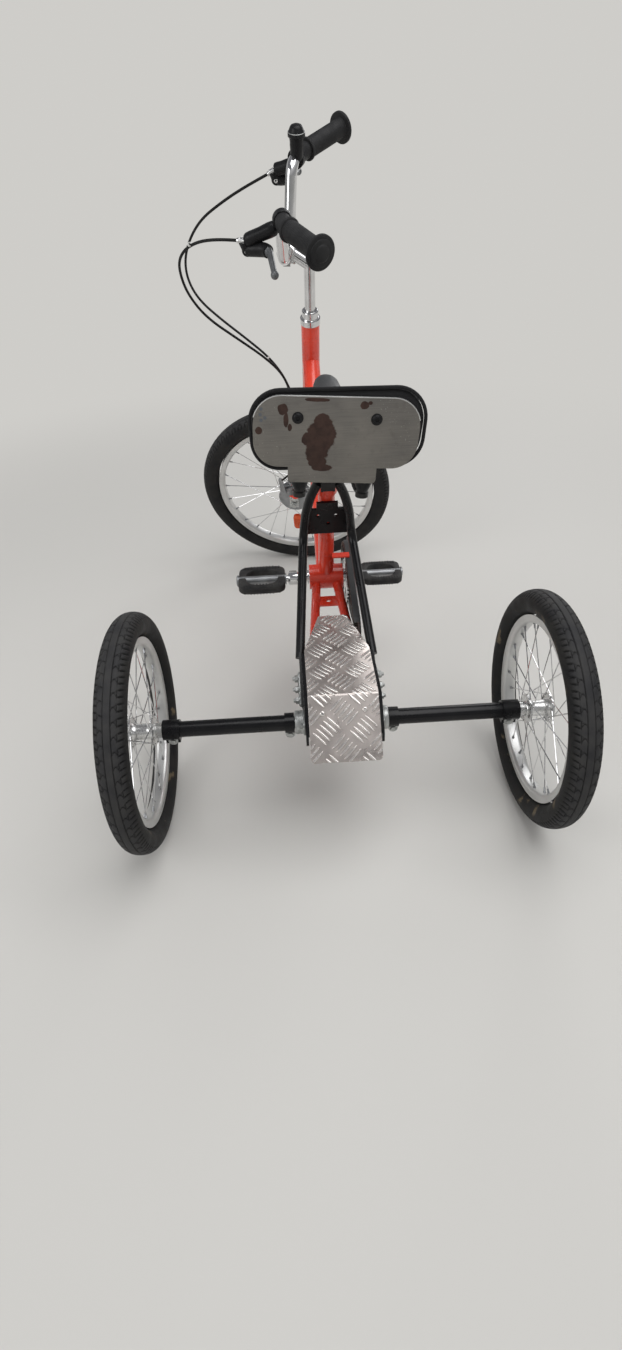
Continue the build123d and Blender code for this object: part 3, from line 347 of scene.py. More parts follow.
# %% The table of finishes
# Columns: colour, patch colour, fleck colour, lowest and highest roughness, metal, coat,
# patch size, fleck size, how rare flecks are, grain size, grain depth (mm)
FINISHES = {
    "red_paint": ((0.80, 0.055, 0.022), (0.66, 0.038, 0.016), (0.42, 0.03, 0.02),
                  0.18, 0.36, 0.0, 0.6, 60, 3.0, 0.72, 1.6, 0.03),
    "black_paint": ((0.004, 0.004, 0.005), (0.007, 0.007, 0.008), (0.08, 0.08, 0.08),
                    0.22, 0.38, 0.0, 0.12, 50, 1.6, 0.82, 2.5, 0.01),
    "guard_paint": ((0.045, 0.046, 0.048), (0.060, 0.060, 0.060), (0.20, 0.19, 0.17),
                    0.38, 0.55, 0.0, 0.0, 45, 1.6, 0.74, 1.0, 0.04),
    "chrome": ((0.78, 0.78, 0.79), (0.66, 0.66, 0.66), (0.30, 0.24, 0.19),
               0.07, 0.18, 1.0, 0.0, 35, 2.2, 0.82, 3.5, 0.005),
    "zinc": ((0.50, 0.51, 0.50), (0.40, 0.41, 0.40), (0.30, 0.29, 0.26),
             0.34, 0.52, 0.75, 0.0, 9, 1.2, 0.74, 1.4, 0.05),
    "chain_steel": ((0.13, 0.115, 0.10), (0.07, 0.06, 0.05), (0.24, 0.10, 0.04),
                    0.38, 0.65, 0.85, 0.0, 14, 2.0, 0.66, 0.8, 0.06),
    "rim_aluminium": ((0.70, 0.70, 0.69), (0.60, 0.60, 0.59), (0.42, 0.41, 0.39),
                      0.30, 0.44, 0.85, 0.0, 60, 2.4, 0.80, 2.5, 0.01),
    "hub_aluminium": ((0.74, 0.74, 0.74), (0.64, 0.64, 0.63), (0.30, 0.28, 0.25),
                      0.20, 0.34, 0.95, 0.0, 30, 2.5, 0.80, 2.5, 0.01),
    "drum_grey": ((0.36, 0.37, 0.38), (0.26, 0.265, 0.27), (0.14, 0.13, 0.12),
                  0.34, 0.52, 0.85, 0.0, 18, 2.0, 0.70, 0.8, 0.06),
    "tread_metal": ((0.60, 0.545, 0.515), (0.50, 0.455, 0.43), (0.36, 0.31, 0.28),
                    0.24, 0.46, 0.82, 0.0, 38, 3.0, 0.70, 1.2, 0.05),
    "grip_rubber": ((0.016, 0.016, 0.017), (0.026, 0.026, 0.027), (0.055, 0.053, 0.050),
                    0.50, 0.68, 0.0, 0.0, 25, 1.5, 0.72, 0.7, 0.10),
    "pedal_rubber": ((0.024, 0.024, 0.025), (0.050, 0.049, 0.047), (0.10, 0.095, 0.085),
                     0.55, 0.78, 0.0, 0.0, 22, 2.0, 0.66, 0.9, 0.16),
    "black_plastic": ((0.007, 0.007, 0.008), (0.012, 0.012, 0.013), (0.07, 0.07, 0.07),
                      0.30, 0.46, 0.0, 0.0, 20, 1.0, 0.76, 0.6, 0.05),
    "lever_grey": ((0.10, 0.105, 0.11), (0.14, 0.145, 0.15), (0.30, 0.30, 0.30),
                   0.30, 0.46, 0.35, 0.0, 16, 1.2, 0.72, 0.7, 0.04),
    "spring_black": ((0.009, 0.009, 0.010), (0.020, 0.018, 0.017), (0.13, 0.07, 0.04),
                     0.34, 0.55, 0.2, 0.0, 14, 1.5, 0.72, 0.8, 0.05),
    "cable_cover": ((0.007, 0.007, 0.007), (0.011, 0.011, 0.011), (0.03, 0.03, 0.03),
                    0.42, 0.55, 0.0, 0.0, 30, 2.5, 0.80, 2.5, 0.005),
    "white_plastic": ((0.72, 0.72, 0.70), (0.64, 0.64, 0.62), (0.40, 0.39, 0.36),
                      0.34, 0.50, 0.0, 0.0, 12, 1.0, 0.74, 0.8, 0.03),
}


# %% Making the finishes
COAT_ROUGHNESS, GLOSSY_LEVEL, DULL_LEVEL = 0.12, 0.5, 0.22


def make_finish(name, colour, patch, fleck, smooth, rough, metal, coat,
                patch_size, fleck_size, fleck_level, grain_size, grain_depth):
    """A finish with patches, flecks where patches crowd, uneven gloss and a grain."""
    material, tree, shader = start_finish(name)
    ground = blended(tree, cloudy(tree, patch_size, 0.35, 0.68), colour, patch)
    flecks = cloudy(tree, fleck_size, fleck_level, fleck_level + 0.05, 3.0)
    crowd = cloudy(tree, patch_size * 1.7, 0.45, 0.7, 2.0)
    wear = cloudy(tree, patch_size * 0.6, 0.3, 0.75, 6.0)
    plug(tree, shader, {
        "Base Color": blended(tree, times(tree, flecks, crowd), ground, fleck),
        "Roughness": ranged(tree, wear, 0, 1, smooth, rough),
        "Metallic": metal,
        "Specular IOR Level": GLOSSY_LEVEL if metal or coat > 0.5 else DULL_LEVEL,
        "Coat Weight": coat,
        "Coat Roughness": COAT_ROUGHNESS,
    })
    dented(tree, shader, cloudy(tree, grain_size, 0.2, 0.8, 3.0), grain_depth)
    return material


finish = {name: make_finish(name, *columns) for name, columns in FINISHES.items()}
print("finishes:", len(finish))

# %% [markdown]
# The paint of the fork was worn off at its ends, where the axle nuts are turned, and bare zinc shows.
# The fork could be split in two pieces with a finish each. But it is one solid, so its colour changes
# along the fork instead: zinc below a level, and the red of the frame above.

# %% Red paint with bare fork ends
BARE_ZINC, BARE_BELOW = (0.52, 0.53, 0.52), 23.0
fork_paint = make_finish("fork_paint", *FINISHES["red_paint"])
fork_tree = fork_paint.node_tree
fork_shader = fork_tree.nodes["Principled BSDF"]
from_foot = vector_sum(fork_tree, "SUBTRACT", surface_place(fork_tree), fork_spot(0, 0, 0))
up_fork = vector_sum(fork_tree, "DOT_PRODUCT", from_foot, fork_up, "Value")
painted = ranged(fork_tree, up_fork, BARE_BELOW * MM, (BARE_BELOW + 1) * MM, 0, 1)
red_colour = fork_shader.inputs["Base Color"].links[0].from_socket
plug(fork_tree, fork_shader, {
    "Base Color": blended(fork_tree, painted, BARE_ZINC, red_colour),
    "Metallic": ranged(fork_tree, painted, 0, 1, 0.9, 0.0),
})
print("fork ends bare below", BARE_BELOW, "mm along the fork")

# %% [markdown]
# The CAD pieces whose shape is already right keep it, and only get a finish: tubes, plates, cranks and
# stem. Building them again would only risk a wrong size.

# %% Finishes of the CAD pieces
KEPT = {
    "red_paint": ["main_frame"],
    "chrome": ["headset_cups", "seat_post", "crank_spindle", "crank_right", "crank_left", "stem",
               "handlebar"],
    "black_paint": ["adapter_bracket", "adapter_collar", "adapter_stay_right", "adapter_stay_left",
                    "side_plate_right", "side_plate_left", "backrest_arm", "rear_axle_tube_right",
                    "rear_axle_tube_left"],
    "guard_paint": ["chain_guard"],
    "spring_black": ["saddle_frame"],
    "chain_steel": ["rear_sprocket"],
    "drum_grey": ["pedal_frame_right", "pedal_frame_left", "drum_brake_plate"],
    "zinc": ["front_axle"],
    "hub_aluminium": ["rim_brake"],
}


def paint_over(node, material):
    """Gives a CAD piece its finish, in place of the one it came with."""
    mesh = frame["nodes"][node].data
    mesh.materials.clear()
    mesh.materials.append(material)


for name, nodes in KEPT.items():
    for node in nodes:
        paint_over(node, finish[name])
paint_over("fork", fork_paint)
print("finishes on CAD pieces:", len(KEPT) + 1)

# %% [markdown]
# ## A small workshop
# Most parts of a cycle are turned, bent from tube or cut from plate, so a helper does each. Hubs, nuts,
# grips and rims come off a lathe: an outline is spun on an axis. Blender's Screw modifier can spin
# too, but code that adds to an open mesh lets many turned shapes become one piece.

# %% A lathe


def turned(mesh, outline, place, steps=48, closed=False):
    """Spins (radius, height) points on the Z axis of a place. Outlines start and end on the axis."""
    rings = []
    for radius, height in outline:
        points = [Vector((*(radius * heading(math.tau * step / steps)), height)) * MM
                  for step in range(steps if radius else 1)]
        rings.append([mesh.verts.new(place @ point) for point in points])
    pairs = list(zip(rings, rings[1:]))
    if closed:
        pairs.append((rings[-1], rings[0]))
    for first, second in pairs:
        for step in range(steps):
            after = step + 1
            corners = list(dict.fromkeys([
                first[step % len(first)], first[after % len(first)],
                second[after % len(second)], second[step % len(second)],
            ]))
            if len(corners) > 2:
                mesh.faces.new(corners)


# %% [markdown]
# Spokes, springs, levers and seams are tubes along a line. A curve with a bevel would draw them too,
# but here the tube may get thinner on its way, and it goes straight into the mesh of its piece.

# %% A tube bender


def skinned(mesh, rings, looped=False):
    """Faces between rings of points. A skin that doesn't meet its own start gets a lid on both ends."""
    pairs = list(zip(rings, rings[1:])) + ([(rings[-1], rings[0])] if looped else [])
    for first, second in pairs:
        for number, point in enumerate(first):
            after = (number + 1) % len(first)
            mesh.faces.new((point, first[after], second[after], second[number]))
    if not looped:
        mesh.faces.new(list(reversed(rings[0])))
        mesh.faces.new(rings[-1])


def tube(mesh, points, radius, sides=10, closed=False):
    """A round tube through points in metres. The radius in mm is one number or one per point."""
    points = [Vector(point) for point in points]
    count = len(points)
    radii = [radius] * count if isinstance(radius, (int, float)) else list(radius)
    rings = []
    across = None
    for number, point in enumerate(points):
        before = points[number - 1] if number or closed else point
        after = points[(number + 1) % count] if number < count - 1 or closed else point
        along = (after - before).normalized()
        if across is None:
            across = along.orthogonal().normalized()
        across = (across - along * across.dot(along)).normalized()
        up = along.cross(across)
        ring = []
        for side in range(sides):
            angle = math.tau * side / sides
            offset = across * math.cos(angle) + up * math.sin(angle)
            ring.append(mesh.verts.new(point + offset * radii[number] * MM))
        rings.append(ring)
    skinned(mesh, rings, closed)


# %% [markdown]
# Plates and blocks are cut to an outline. No real edge is sharp: a thin bright line runs along it
# where it is rounded. So a plate is built in layers, and the outer ones are a little smaller. A Bevel
# modifier gives the same look, but not on a piece that is built of many plates that touch.

# %% Shears for plate


def grown(outline, amount):
    """A flat outline with each side moved outwards."""
    moved = []
    count = len(outline)
    for number, point in enumerate(outline):
        here = Vector(point)
        before = (here - Vector(outline[number - 1])).normalized()
        after = (Vector(outline[(number + 1) % count]) - here).normalized()
        normal = Vector((before.y + after.y, -before.x - after.x))
        normal = normal.normalized() if normal.length > 1e-6 else Vector((before.y, -before.x))
        slant = max(0.35, normal.dot(Vector((before.y, -before.x))))
        moved.append(here + normal * (amount / slant))
    return moved


def stacked(mesh, place, layers):
    """Rings of points from rows of an outline, how much it grows, and its height."""
    return [
        [mesh.verts.new(place @ (Vector((*point, height)) * MM)) for point in grown(outline, amount)]
        for outline, amount, height in layers
    ]


def plate(mesh, outline, low, high, place, bevel):
    """A plate cut to an anticlockwise outline in mm, between two heights, with rounded edges."""
    layers = [(-bevel, low), (-bevel * 0.3, low + bevel * 0.3), (0, low + bevel),
              (0, high - bevel), (-bevel * 0.3, high - bevel * 0.3), (-bevel, high)]
    skinned(mesh, stacked(mesh, place, [(outline, inset, height) for inset, height in layers]))


# %% [markdown]
# Two kinds of outline are needed again and again: a band drawn tight round circles, as for a lug or a
# cushion, and a rectangle with round corners.

# %% Outlines


def hull_of(*circles, steps):
    """Anticlockwise outline round circles given as (x, y, radius)."""
    points = []
    for x, y, radius in circles:
        for step in range(steps):
            angle = math.tau * step / steps
            points.append((x + radius * math.cos(angle), y + radius * math.sin(angle)))
    points = sorted(set(points))

    def chain_of(ordered):
        kept = []
        for point in ordered:
            while len(kept) > 1:
                (ax, ay), (bx, by) = kept[-2], kept[-1]
                if (bx - ax) * (point[1] - ay) - (by - ay) * (point[0] - ax) > 1e-9:
                    break
                kept.pop()
            kept.append(point)
        return kept[:-1]

    return chain_of(points) + chain_of(points[::-1])


def rectangle(width, height, corner, steps):
    """Anticlockwise rectangle with rounded corners."""
    points = []
    for number, (x, y) in enumerate(((1, -1), (1, 1), (-1, 1), (-1, -1))):
        centre = Vector((x * (width / 2 - corner), y * (height / 2 - corner)))
        points += [centre + corner * heading(math.pi / 2 * (number - 1 + step / steps))
                   for step in range(steps + 1)]
    return points


# %% [markdown]
# The machine is bolted together, and the bolts show. A hexagon head stands on a washer. A round head
# has a socket for a key in its top.

# %% Bolts


def bolt(mesh, place, radius, height):
    """A hexagon bolt head on its washer, standing on a place."""
    turned(mesh, [(0, -0.4), (radius * 1.55, -0.4), (radius * 1.55, 0.9), (radius * 1.45, 1.1),
                  (0, 1.1)], place, 24)
    hexagon = [radius * heading(math.pi * side / 3) for side in range(6)]
    plate(mesh, hexagon, 1.0, 1.0 + height, place, 0.5)


def round_bolt(mesh, place, radius, height):
    """A domed bolt head with a six sided socket."""
    turned(mesh, [(0, -0.4), (radius, -0.4), (radius, height * 0.3), (radius * 0.86, height * 0.72),
                  (radius * 0.6, height * 0.97), (radius * 0.5, height)], place, 24)
    turned(mesh, [(radius * 0.5, height), (radius * 0.44, height - 0.2), (radius * 0.42, 0.4),
                  (0, 0.3)], place, 24)


# %% [markdown]
# A finished mesh becomes a piece of the machine. Its faces are shaded smooth, apart from edges that are
# sharper than an angle. It rides on a body, so that it turns with it, and takes the place of the plain
# solid that it stands for.

# %% From mesh to piece


def new_object(name, mesh):
    """An object from a working mesh, with its faces turned outwards."""
    bmesh.ops.recalc_face_normals(mesh, faces=mesh.faces)
    data = bpy.data.meshes.new(name)
    mesh.to_mesh(data)
    mesh.free()
    piece = bpy.data.objects.new(name, data)
    scene.collection.objects.link(piece)
    return piece


def make_piece(name, mesh, material, body, stands_for=(), sharp=38.0):
    """Turns a working mesh into a piece of the machine that rides on a body."""
    bmesh.ops.remove_doubles(mesh, verts=mesh.verts, dist=1e-6)
    piece = new_object(name, mesh)
    data = piece.data
    data.materials.append(material)
    data.polygons.foreach_set("use_smooth", [True] * len(data.polygons))
    data.set_sharp_from_angle(angle=math.radians(sharp))
    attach(piece, body)
    if stands_for:
        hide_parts(*stands_for)
    print(name, "faces:", len(data.polygons))
    return piece


# %% [markdown]
# ## Tyres
# A tyre is a tube with a thick tread. This tread has a smooth middle rib with a sawtooth edge, rows of
# curved cuts beside it and open notches at the shoulders. It could be drawn as one block of tread and
# repeated by an Array modifier. Here a function says how deep the rubber is cut at any place, which
# keeps the pattern even all the way round and serves both wheel sizes.

# %% Tread pattern
RIB_HALF, CUT_ROW, SHOULDER, TREAD_HALF = 5.2, 8.0, 15.0, 25.0


def soft_cut(distance, half_width):
    """1 inside a cut, 0 outside, with a short slope between."""
    return max(0.0, min(1.0, (half_width - abs(distance)) / 0.7 + 0.5))


def cut_depth(across, along, pitch):
    """How deep the tread is cut, from 0 to 1, at millimetres across and along the tyre."""
    side = abs(across)
    turn = along + (0.5 * pitch if across > 0 else 0.0)
    phase = (turn / pitch) % 1.0
    if side > TREAD_HALF:
        return 0.0
    sawtooth = RIB_HALF + 1.6 * abs(phase - 0.5)
    depth = 0.75 * soft_cut(side - sawtooth, 0.55)
    if sawtooth < side < SHOULDER + 0.8:
        bow = 0.30 * pitch * math.sin(math.pi * (side - RIB_HALF) / (SHOULDER - RIB_HALF))
        gap = ((turn + bow) % pitch) - pitch / 2
        depth = max(depth, 0.9 * soft_cut(gap, 0.75))
        half_gap = ((turn - bow * 0.6 + 0.5 * pitch) % pitch) - pitch / 2
        if side > CUT_ROW + 1.5:
            depth = max(depth, 0.6 * soft_cut(half_gap, 0.45))
    if side > SHOULDER - 0.8:
        rail = soft_cut(side - SHOULDER, 0.5) * (1.0 if phase < 0.62 else 0.2)
        notch = ((turn + 0.25 * pitch + 0.25 * (side - SHOULDER)) % (pitch / 2)) - pitch / 4
        opened = min(1.0, max(0.0, (side - SHOULDER - 0.5) / 2.0))
        depth = max(depth, 0.7 * rail, opened * soft_cut(notch, 1.35))
    return depth


# %% [markdown]
# The tyre itself is a skin of rings round its section. The rings are close together on the tread, where
# the cuts are, and few on the smooth sides. Each point also keeps how deep it lies, as a number that
# the rubber's finish reads to paint shade into the cuts.

# %% Tyre skin
CUT_DEEP = 2.3


def tyre(name, wheel_place, radius, width, rim_radius, body, node, material, pitches):
    """A tyre on the X axis of a wheel's place."""
    height = radius - rim_radius
    section = radius - height / 2
    around = pitches * 16
    circumference = math.tau * radius
    pitch = circumference / pitches
    tread_angle = TREAD_HALF / (width / 2)
    wall = [math.radians(angle) for angle in (150, 132, 115, 100, 86, 75, 67)]
    steps = 44
    tread = [tread_angle * (2 * step / steps - 1) for step in range(steps + 1)]
    angles = [-angle for angle in wall] + tread + wall[::-1]
    mesh = bmesh.new()
    # How deep each point is cut, kept for the painted shade in the cuts
    groove_shade_layer = mesh.verts.layers.float.new("groove_shade")
    rings = []
    for step in range(around):
        turn = math.tau * step / around
        along = circumference * step / around
        ring = []
        for angle in angles:
            depth = cut_depth(angle * width / 2, along, pitch)
            flat = 1.0 - 0.018 * max(0.0, math.cos(angle * 3.2)) if abs(angle) < 0.5 else 1.0
            reach = section + (height / 2 * flat - CUT_DEEP * depth) * math.cos(angle)
            side = (width / 2 - CUT_DEEP * depth) * math.sin(angle)
            vertex = mesh.verts.new(wheel_place @ (Vector((side, *(reach * heading(turn)))) * MM))
            vertex[groove_shade_layer] = depth
            ring.append(vertex)
        rings.append(ring)
    skinned(mesh, rings, looped=True)
    return make_piece(name, mesh, material, body, [node], sharp=70)


# %% [markdown]
# Old rubber is dark grey rather than black, and dusty; the tread is lighter than the side walls, and
# painted shade darkens the cuts. The inner sides of the rear tyres also carry smears of yellow-brown
# glue. Paint on a picture could show them, but a pattern needs no seam: the distance from the axle
# tells tread from side wall, and the smears are patches of noise that only show near the bead.

# %% Rubber of the tyres


def distance_from_axle(tree, centre, axle):
    """How far a place on the surface is from a wheel's axle, and along it, in metres."""
    arm = vector_sum(tree, "SUBTRACT", surface_place(tree), centre)
    square = vector_sum(tree, "CROSS_PRODUCT", arm, axle)
    reach = vector_sum(tree, "LENGTH", square, output="Value")
    return reach, vector_sum(tree, "DOT_PRODUCT", arm, axle, "Value")


def tyre_finish(name, centre, axle, rim_radius, radius, inner_side):
    """Rubber for one tyre. The inner side is 1 or -1 where it is smeared, and 0 where it is clean."""
    material, tree, shader = start_finish(name)
    reach, along = distance_from_axle(tree, centre, axle)
    dust = cloudy(tree, 26, 0.35, 0.75, 6.0)
    tread = ranged(tree, reach, (radius - 11) * MM, (radius - 4) * MM, 0, 1)
    side_colour = blended(tree, dust, (0.009, 0.009, 0.010), (0.026, 0.025, 0.023))
    tread_colour = blended(tree, dust, (0.024, 0.024, 0.026), (0.048, 0.047, 0.046))
    rubber = blended(tree, tread, side_colour, tread_colour)
    # Painted shade: the deeper a cut, the darker the rubber in it
    cuts = tree.nodes.new("ShaderNodeAttribute")
    cuts.attribute_name = "groove_shade"
    rubber = blended(tree, times(tree, cuts.outputs["Fac"], 0.7), rubber, (0.006, 0.006, 0.006))
    if inner_side:
        low = ranged(tree, reach, (rim_radius + 15) * MM, (rim_radius + 24) * MM, 1, 0)
        inside = ranged(tree, along, -0.004 * inner_side, -0.012 * inner_side, 0, 1)
        smear = times(tree, cloudy(tree, 34, 0.62, 0.68, 5.0, (1.6, 1, 1)), low)
        smear = times(tree, times(tree, smear, inside), 0.6)
        rubber = blended(tree, smear, rubber, (0.20, 0.155, 0.095))
    plug(tree, shader, {"Base Color": rubber, "Specular IOR Level": DULL_LEVEL,
                        "Roughness": ranged(tree, dust, 0, 1, 0.52, 0.78)})
    dented(tree, shader, cloudy(tree, 0.7, 0.2, 0.8, 3.0), 0.12)
    ribs = wired(tree, "Math", {0: times(tree, reach, math.tau / (1.9 * MM))}, operation="SINE")
    side_only = ranged(tree, reach, (radius - 16) * MM, (radius - 13) * MM, 1, 0)
    dented(tree, shader, times(tree, ribs, side_only), 0.16, 0.5)
    return material


# %% [markdown]
# The wheels are placed by their joints, so the tyres turn truly on their axles. The left wheel is the
# right one in a mirror. The rear tyres are 16 inch ones and the front tyre is a 20 inch one.

# %% Three tyres
REAR_RADIUS, REAR_WIDTH, REAR_RIM, REAR_PITCHES = 200.0, 47.0, 158.0, 60
FRONT_RADIUS, FRONT_WIDTH, FRONT_RIM, FRONT_PITCHES = 253.0, 46.0, 209.0, 76
right_place = Matrix.Translation(right_wheel)
left_place = Matrix.Translation(left_wheel) @ Matrix.Scale(-1, 4, (1, 0, 0))
front_place = axes(front_wheel, fork_right, fork_ahead, fork_up)
X_AXIS = Vector((1, 0, 0))

for side, place, centre, inner_side in (
    ("right", right_place, right_wheel, 1), ("left", left_place, left_wheel, -1)
):
    rubber = tyre_finish(side + "_tyre_rubber", centre, X_AXIS, REAR_RIM, REAR_RADIUS, inner_side)
    tyre(side + "_tyre", place, REAR_RADIUS, REAR_WIDTH, REAR_RIM, "rear_wheel_" + side,
         "rear_tyre_" + side, rubber, REAR_PITCHES)
rubber = tyre_finish("front_tyre_rubber", front_wheel, fork_right, FRONT_RIM, FRONT_RADIUS, 0)
tyre("front_tyre_cover", front_place, FRONT_RADIUS, FRONT_WIDTH, FRONT_RIM, "front_wheel",
     "front_tyre", rubber, FRONT_PITCHES)

# %% [markdown]
# ## Rims, hubs and spokes
# The rims are rolled aluminium with hooked edges that hold the tyre. Rolling a strip is the same as
# spinning its section on the axle, so the lathe makes them.

# %% Rims
RIM_HALF, RIM_DEPTH = 11.8, 14.5


def rim(name, wheel_place, radius, body, node):
    """A rim: its hooked section spun on the axle."""
    inner = radius - RIM_DEPTH
    hooks = [
        (radius, RIM_HALF), (radius - 0.3, RIM_HALF - 0.2), (radius - 4, RIM_HALF - 0.1),
        (inner + 6, RIM_HALF), (inner + 3.2, RIM_HALF - 0.5), (inner + 1.2, RIM_HALF - 2.4),
        (inner + 0.2, RIM_HALF - 5), (inner, RIM_HALF - 7),
    ]
    well = [
        (radius - 0.2, RIM_HALF - 1.9), (radius - 4.5, RIM_HALF - 1.7), (radius - 7, RIM_HALF - 5),
    ]
    outline = hooks + [(r, -x) for r, x in reversed(hooks)]
    outline = outline + [(r, -x) for r, x in well] + [(r, x) for r, x in reversed(well)]
    mesh = bmesh.new()
    turned(mesh, outline, wheel_place @ Matrix.Rotation(math.pi / 2, 4, "Y"), 144, closed=True)
    return make_piece(name, mesh, finish["rim_aluminium"], body, [node], sharp=50)


# %% [markdown]
# Each spoke leaves the hub's flange with a bent head, crosses its neighbours and ends in a plated
# nipple in the rim. One spoke could be drawn and copied round, but the spokes lean by turns to the
# right and left and start at two flanges. So each is drawn from its own angles, which are those of the
# CAD model: they meet the hub and the rim where its spokes do.

# %% Spokes
SPOKES, SPOKE_RADIUS = 28, 0.95


def spoke_lines(rim_radius, flanges, crossing):
    """Start and end of each spoke, in millimetres from the wheel's centre."""
    lines = []
    end_radius = rim_radius - RIM_DEPTH
    for number in range(SPOKES):
        flange_x, flange_radius = flanges[number % 2]
        turn = 1 if (number // 2) % 2 else -1
        rim_turn = math.tau * number / SPOKES
        hub_turn = rim_turn + turn * math.radians(crossing)
        side = 1 if flange_x > 0 else -1
        start = Vector((flange_x + 2 * turn, *(flange_radius * heading(hub_turn))))
        end = Vector((2.5 * side, *(end_radius * heading(rim_turn))))
        lines.append((start, end, turn))
    return lines


def spokes_and_nipples(wheel_place, name, rim_radius, flanges, crossing, body):
    """All spokes of a wheel as one piece, and their nipples as another."""
    spokes = bmesh.new()
    nipples = bmesh.new()
    for start, end, turn in spoke_lines(rim_radius, flanges, crossing):
        run = (end - start).normalized()
        head = start - Vector((3.0 * turn, 0, 0))
        bend = start + Vector((0.4 * turn, 0, 0)) + run * 1.2
        points = [head, start - Vector((0.8 * turn, 0, 0)), bend, start + run * 5, end]
        tube(spokes, [wheel_place @ (point * MM) for point in points], SPOKE_RADIUS, 6)
        head_place = stand(wheel_place @ (head * MM), wheel_place.to_3x3() @ Vector((-turn, 0, 0)))
        turned(spokes, [(0, -0.6), (1.9, -0.6), (1.8, 0.3), (1.0, 0.9), (0, 1.0)], head_place, 10)
        collar = stand(wheel_place @ ((end - run * 9) * MM), wheel_place.to_3x3() @ run)
        turned(nipples, [(0, 0), (1.5, 0), (1.7, 0.6), (1.7, 6.5), (2.6, 8.0), (2.6, 9.8), (0, 9.8)],
               collar, 8)
    make_piece(name + "_spokes", spokes, finish["chrome"], body)
    make_piece(name + "_nipples", nipples, finish["drum_grey"], body)


# %% [markdown]
# The rear hubs are small aluminium spools with two flanges. Their ends meet the axle tube's collar on
# the inside and the axle nut on the outside.

# %% Rear wheels
SIDEWAYS = Matrix.Rotation(math.pi / 2, 4, "Y")
HUB_OUTLINE = [
    (0, -35), (12.4, -35), (13, -34.4), (13, -23), (13.8, -22), (24.2, -22), (25, -21.4), (25, -18.6),
    (24.2, -18), (16.5, -17.4), (14.2, -14), (13.6, -8), (13.6, 5), (14.2, 11), (16.5, 14.4),
    (24.2, 15), (25, 15.6), (25, 18.4), (24.2, 19), (14, 19.6), (12, 20.4), (12, 22.4), (11.4, 23),
    (8.5, 23),
]


def rear_wheel(side, wheel_place):
    """The rim, hub and spokes of one rear wheel."""
    name, body = side + "_wheel", "rear_wheel_" + side
    rim(name + "_rim", wheel_place, REAR_RIM, body, "rear_rim_" + side)
    mesh = bmesh.new()
    turned(mesh, HUB_OUTLINE, wheel_place @ SIDEWAYS, 48)
    make_piece(name + "_hub", mesh, finish["hub_aluminium"], body, ["rear_hub_" + side])
    spokes_and_nipples(wheel_place, name, REAR_RIM, [(17, 22.0), (-20, 22.0)], 62, body)


rear_wheel("right", right_place)
rear_wheel("left", left_place)

# %% [markdown]
# The front hub holds a drum brake, so it is a wide satin grey shell with cooling fins and two large
# flanges. The fins are steps in the outline that is spun. The brake's plate and arm stay from the CAD
# model: they don't turn with the wheel, so they are no part of the hub.

# %% Front wheel
rim("front_wheel_rim", front_place, FRONT_RIM, "front_wheel", "front_rim")
DRUM, HUB_END, FIN_PITCH = 44.0, 29.0, 3.2
fins = []
for fin in range(5):
    at = FIN_PITCH * fin
    fins += [(39.4, at - 22), (41.6, at - 21.4), (41.6, at - 20.4), (39.4, at - 19.8)]
drum_outline = [
    (DRUM - 9, -HUB_END), (DRUM - 0.6, -HUB_END), (DRUM, -28.4), (DRUM, -25.6), (DRUM - 0.6, -25),
    (DRUM - 2.6, -24.4), *fins, (38.6, -5.6), (35, -3.2), (22, 0.4), (18.6, 3), (17.2, 8),
    (17, 22), (18, 24.4), (26.4, 25), (27, 25.6), (27, 28.4), (26.4, 29), (16.6, 29.3), (15.6, 30.4),
    (14.4, 33.4), (13.8, 34), (5.2, 34), (5.2, -9), (DRUM - 9, -9),
]
mesh = bmesh.new()
turned(mesh, drum_outline, front_place @ SIDEWAYS, 72, closed=True)
make_piece("front_drum_hub", mesh, finish["drum_grey"], "front_wheel", ["front_hub"])
front_flanges = [(HUB_END - 2, 24.0), (-HUB_END + 2, DRUM - 2)]
spokes_and_nipples(front_place, "front_wheel", FRONT_RIM, front_flanges, 40, "front_wheel")

# %% [markdown]
# A reflector is clipped between the spokes, low in the front wheel: an orange-red lens on both sides
# with rounded corners and fine ribs. Real lenses are moulded full of tiny prisms. At this size ribs
# and a grain catch the light in the same way.

# %% Spoke reflector
REFLECTOR_OUT, REFLECTOR_TURN, RIBS, RIB_PITCH = 118.0, math.radians(-94), 13, 2.5
outwards = Vector((0, *heading(REFLECTOR_TURN)))
onwards = Vector((0, *heading(REFLECTOR_TURN + math.pi / 2)))
reflector = front_place @ axes(outwards * REFLECTOR_OUT * MM, onwards, outwards, Vector((-1, 0, 0)))
lens_material = make_finish(
    "reflector_orange", (0.78, 0.10, 0.02), (0.62, 0.07, 0.015), (0.90, 0.30, 0.12),
    0.10, 0.24, 0.0, 0.5, 8, 1.2, 0.66, 2.2, 0.25)
mesh = bmesh.new()
for face in (2.0, -5.0):
    plate(mesh, rectangle(38, 50, 10, 8), face, face + 3, reflector, 0.8)
for rib in range(RIBS):
    along = (rib - (RIBS - 1) / 2) * RIB_PITCH
    plate(mesh, rectangle(4.4, 22, 1.5, 3), 4.6, 5.8, reflector @ shift(along, 0, 0), 0.5)
make_piece("spoke_reflector", mesh, lens_material, "front_wheel")

# %% [markdown]
# ## The five-bar tread plate
# The carrier is covered by a folded sheet of tread plate: groups of five raised bars, and each group
# stands square to its neighbours. A bump pattern would look flat from the side, so the bars are real.
# Everything is drawn flat, cut off at the sheet's outline, and then laid over the fold by a function
# that says where a place on the flat sheet goes.

# %% Places on the folded sheet
FOLD, TREAD_TOP, SLOPE, SLOPE_LENGTH, SHEET, BEND = -35.0, 286.0, 44.5, 105.0, 3.0, 7.0
TREAD_HALF_WIDTH, TAPER_START, TIP, TIP_HALF, TREAD_CORNER = 55.5, 85.0, 187.0, 26.0, 7


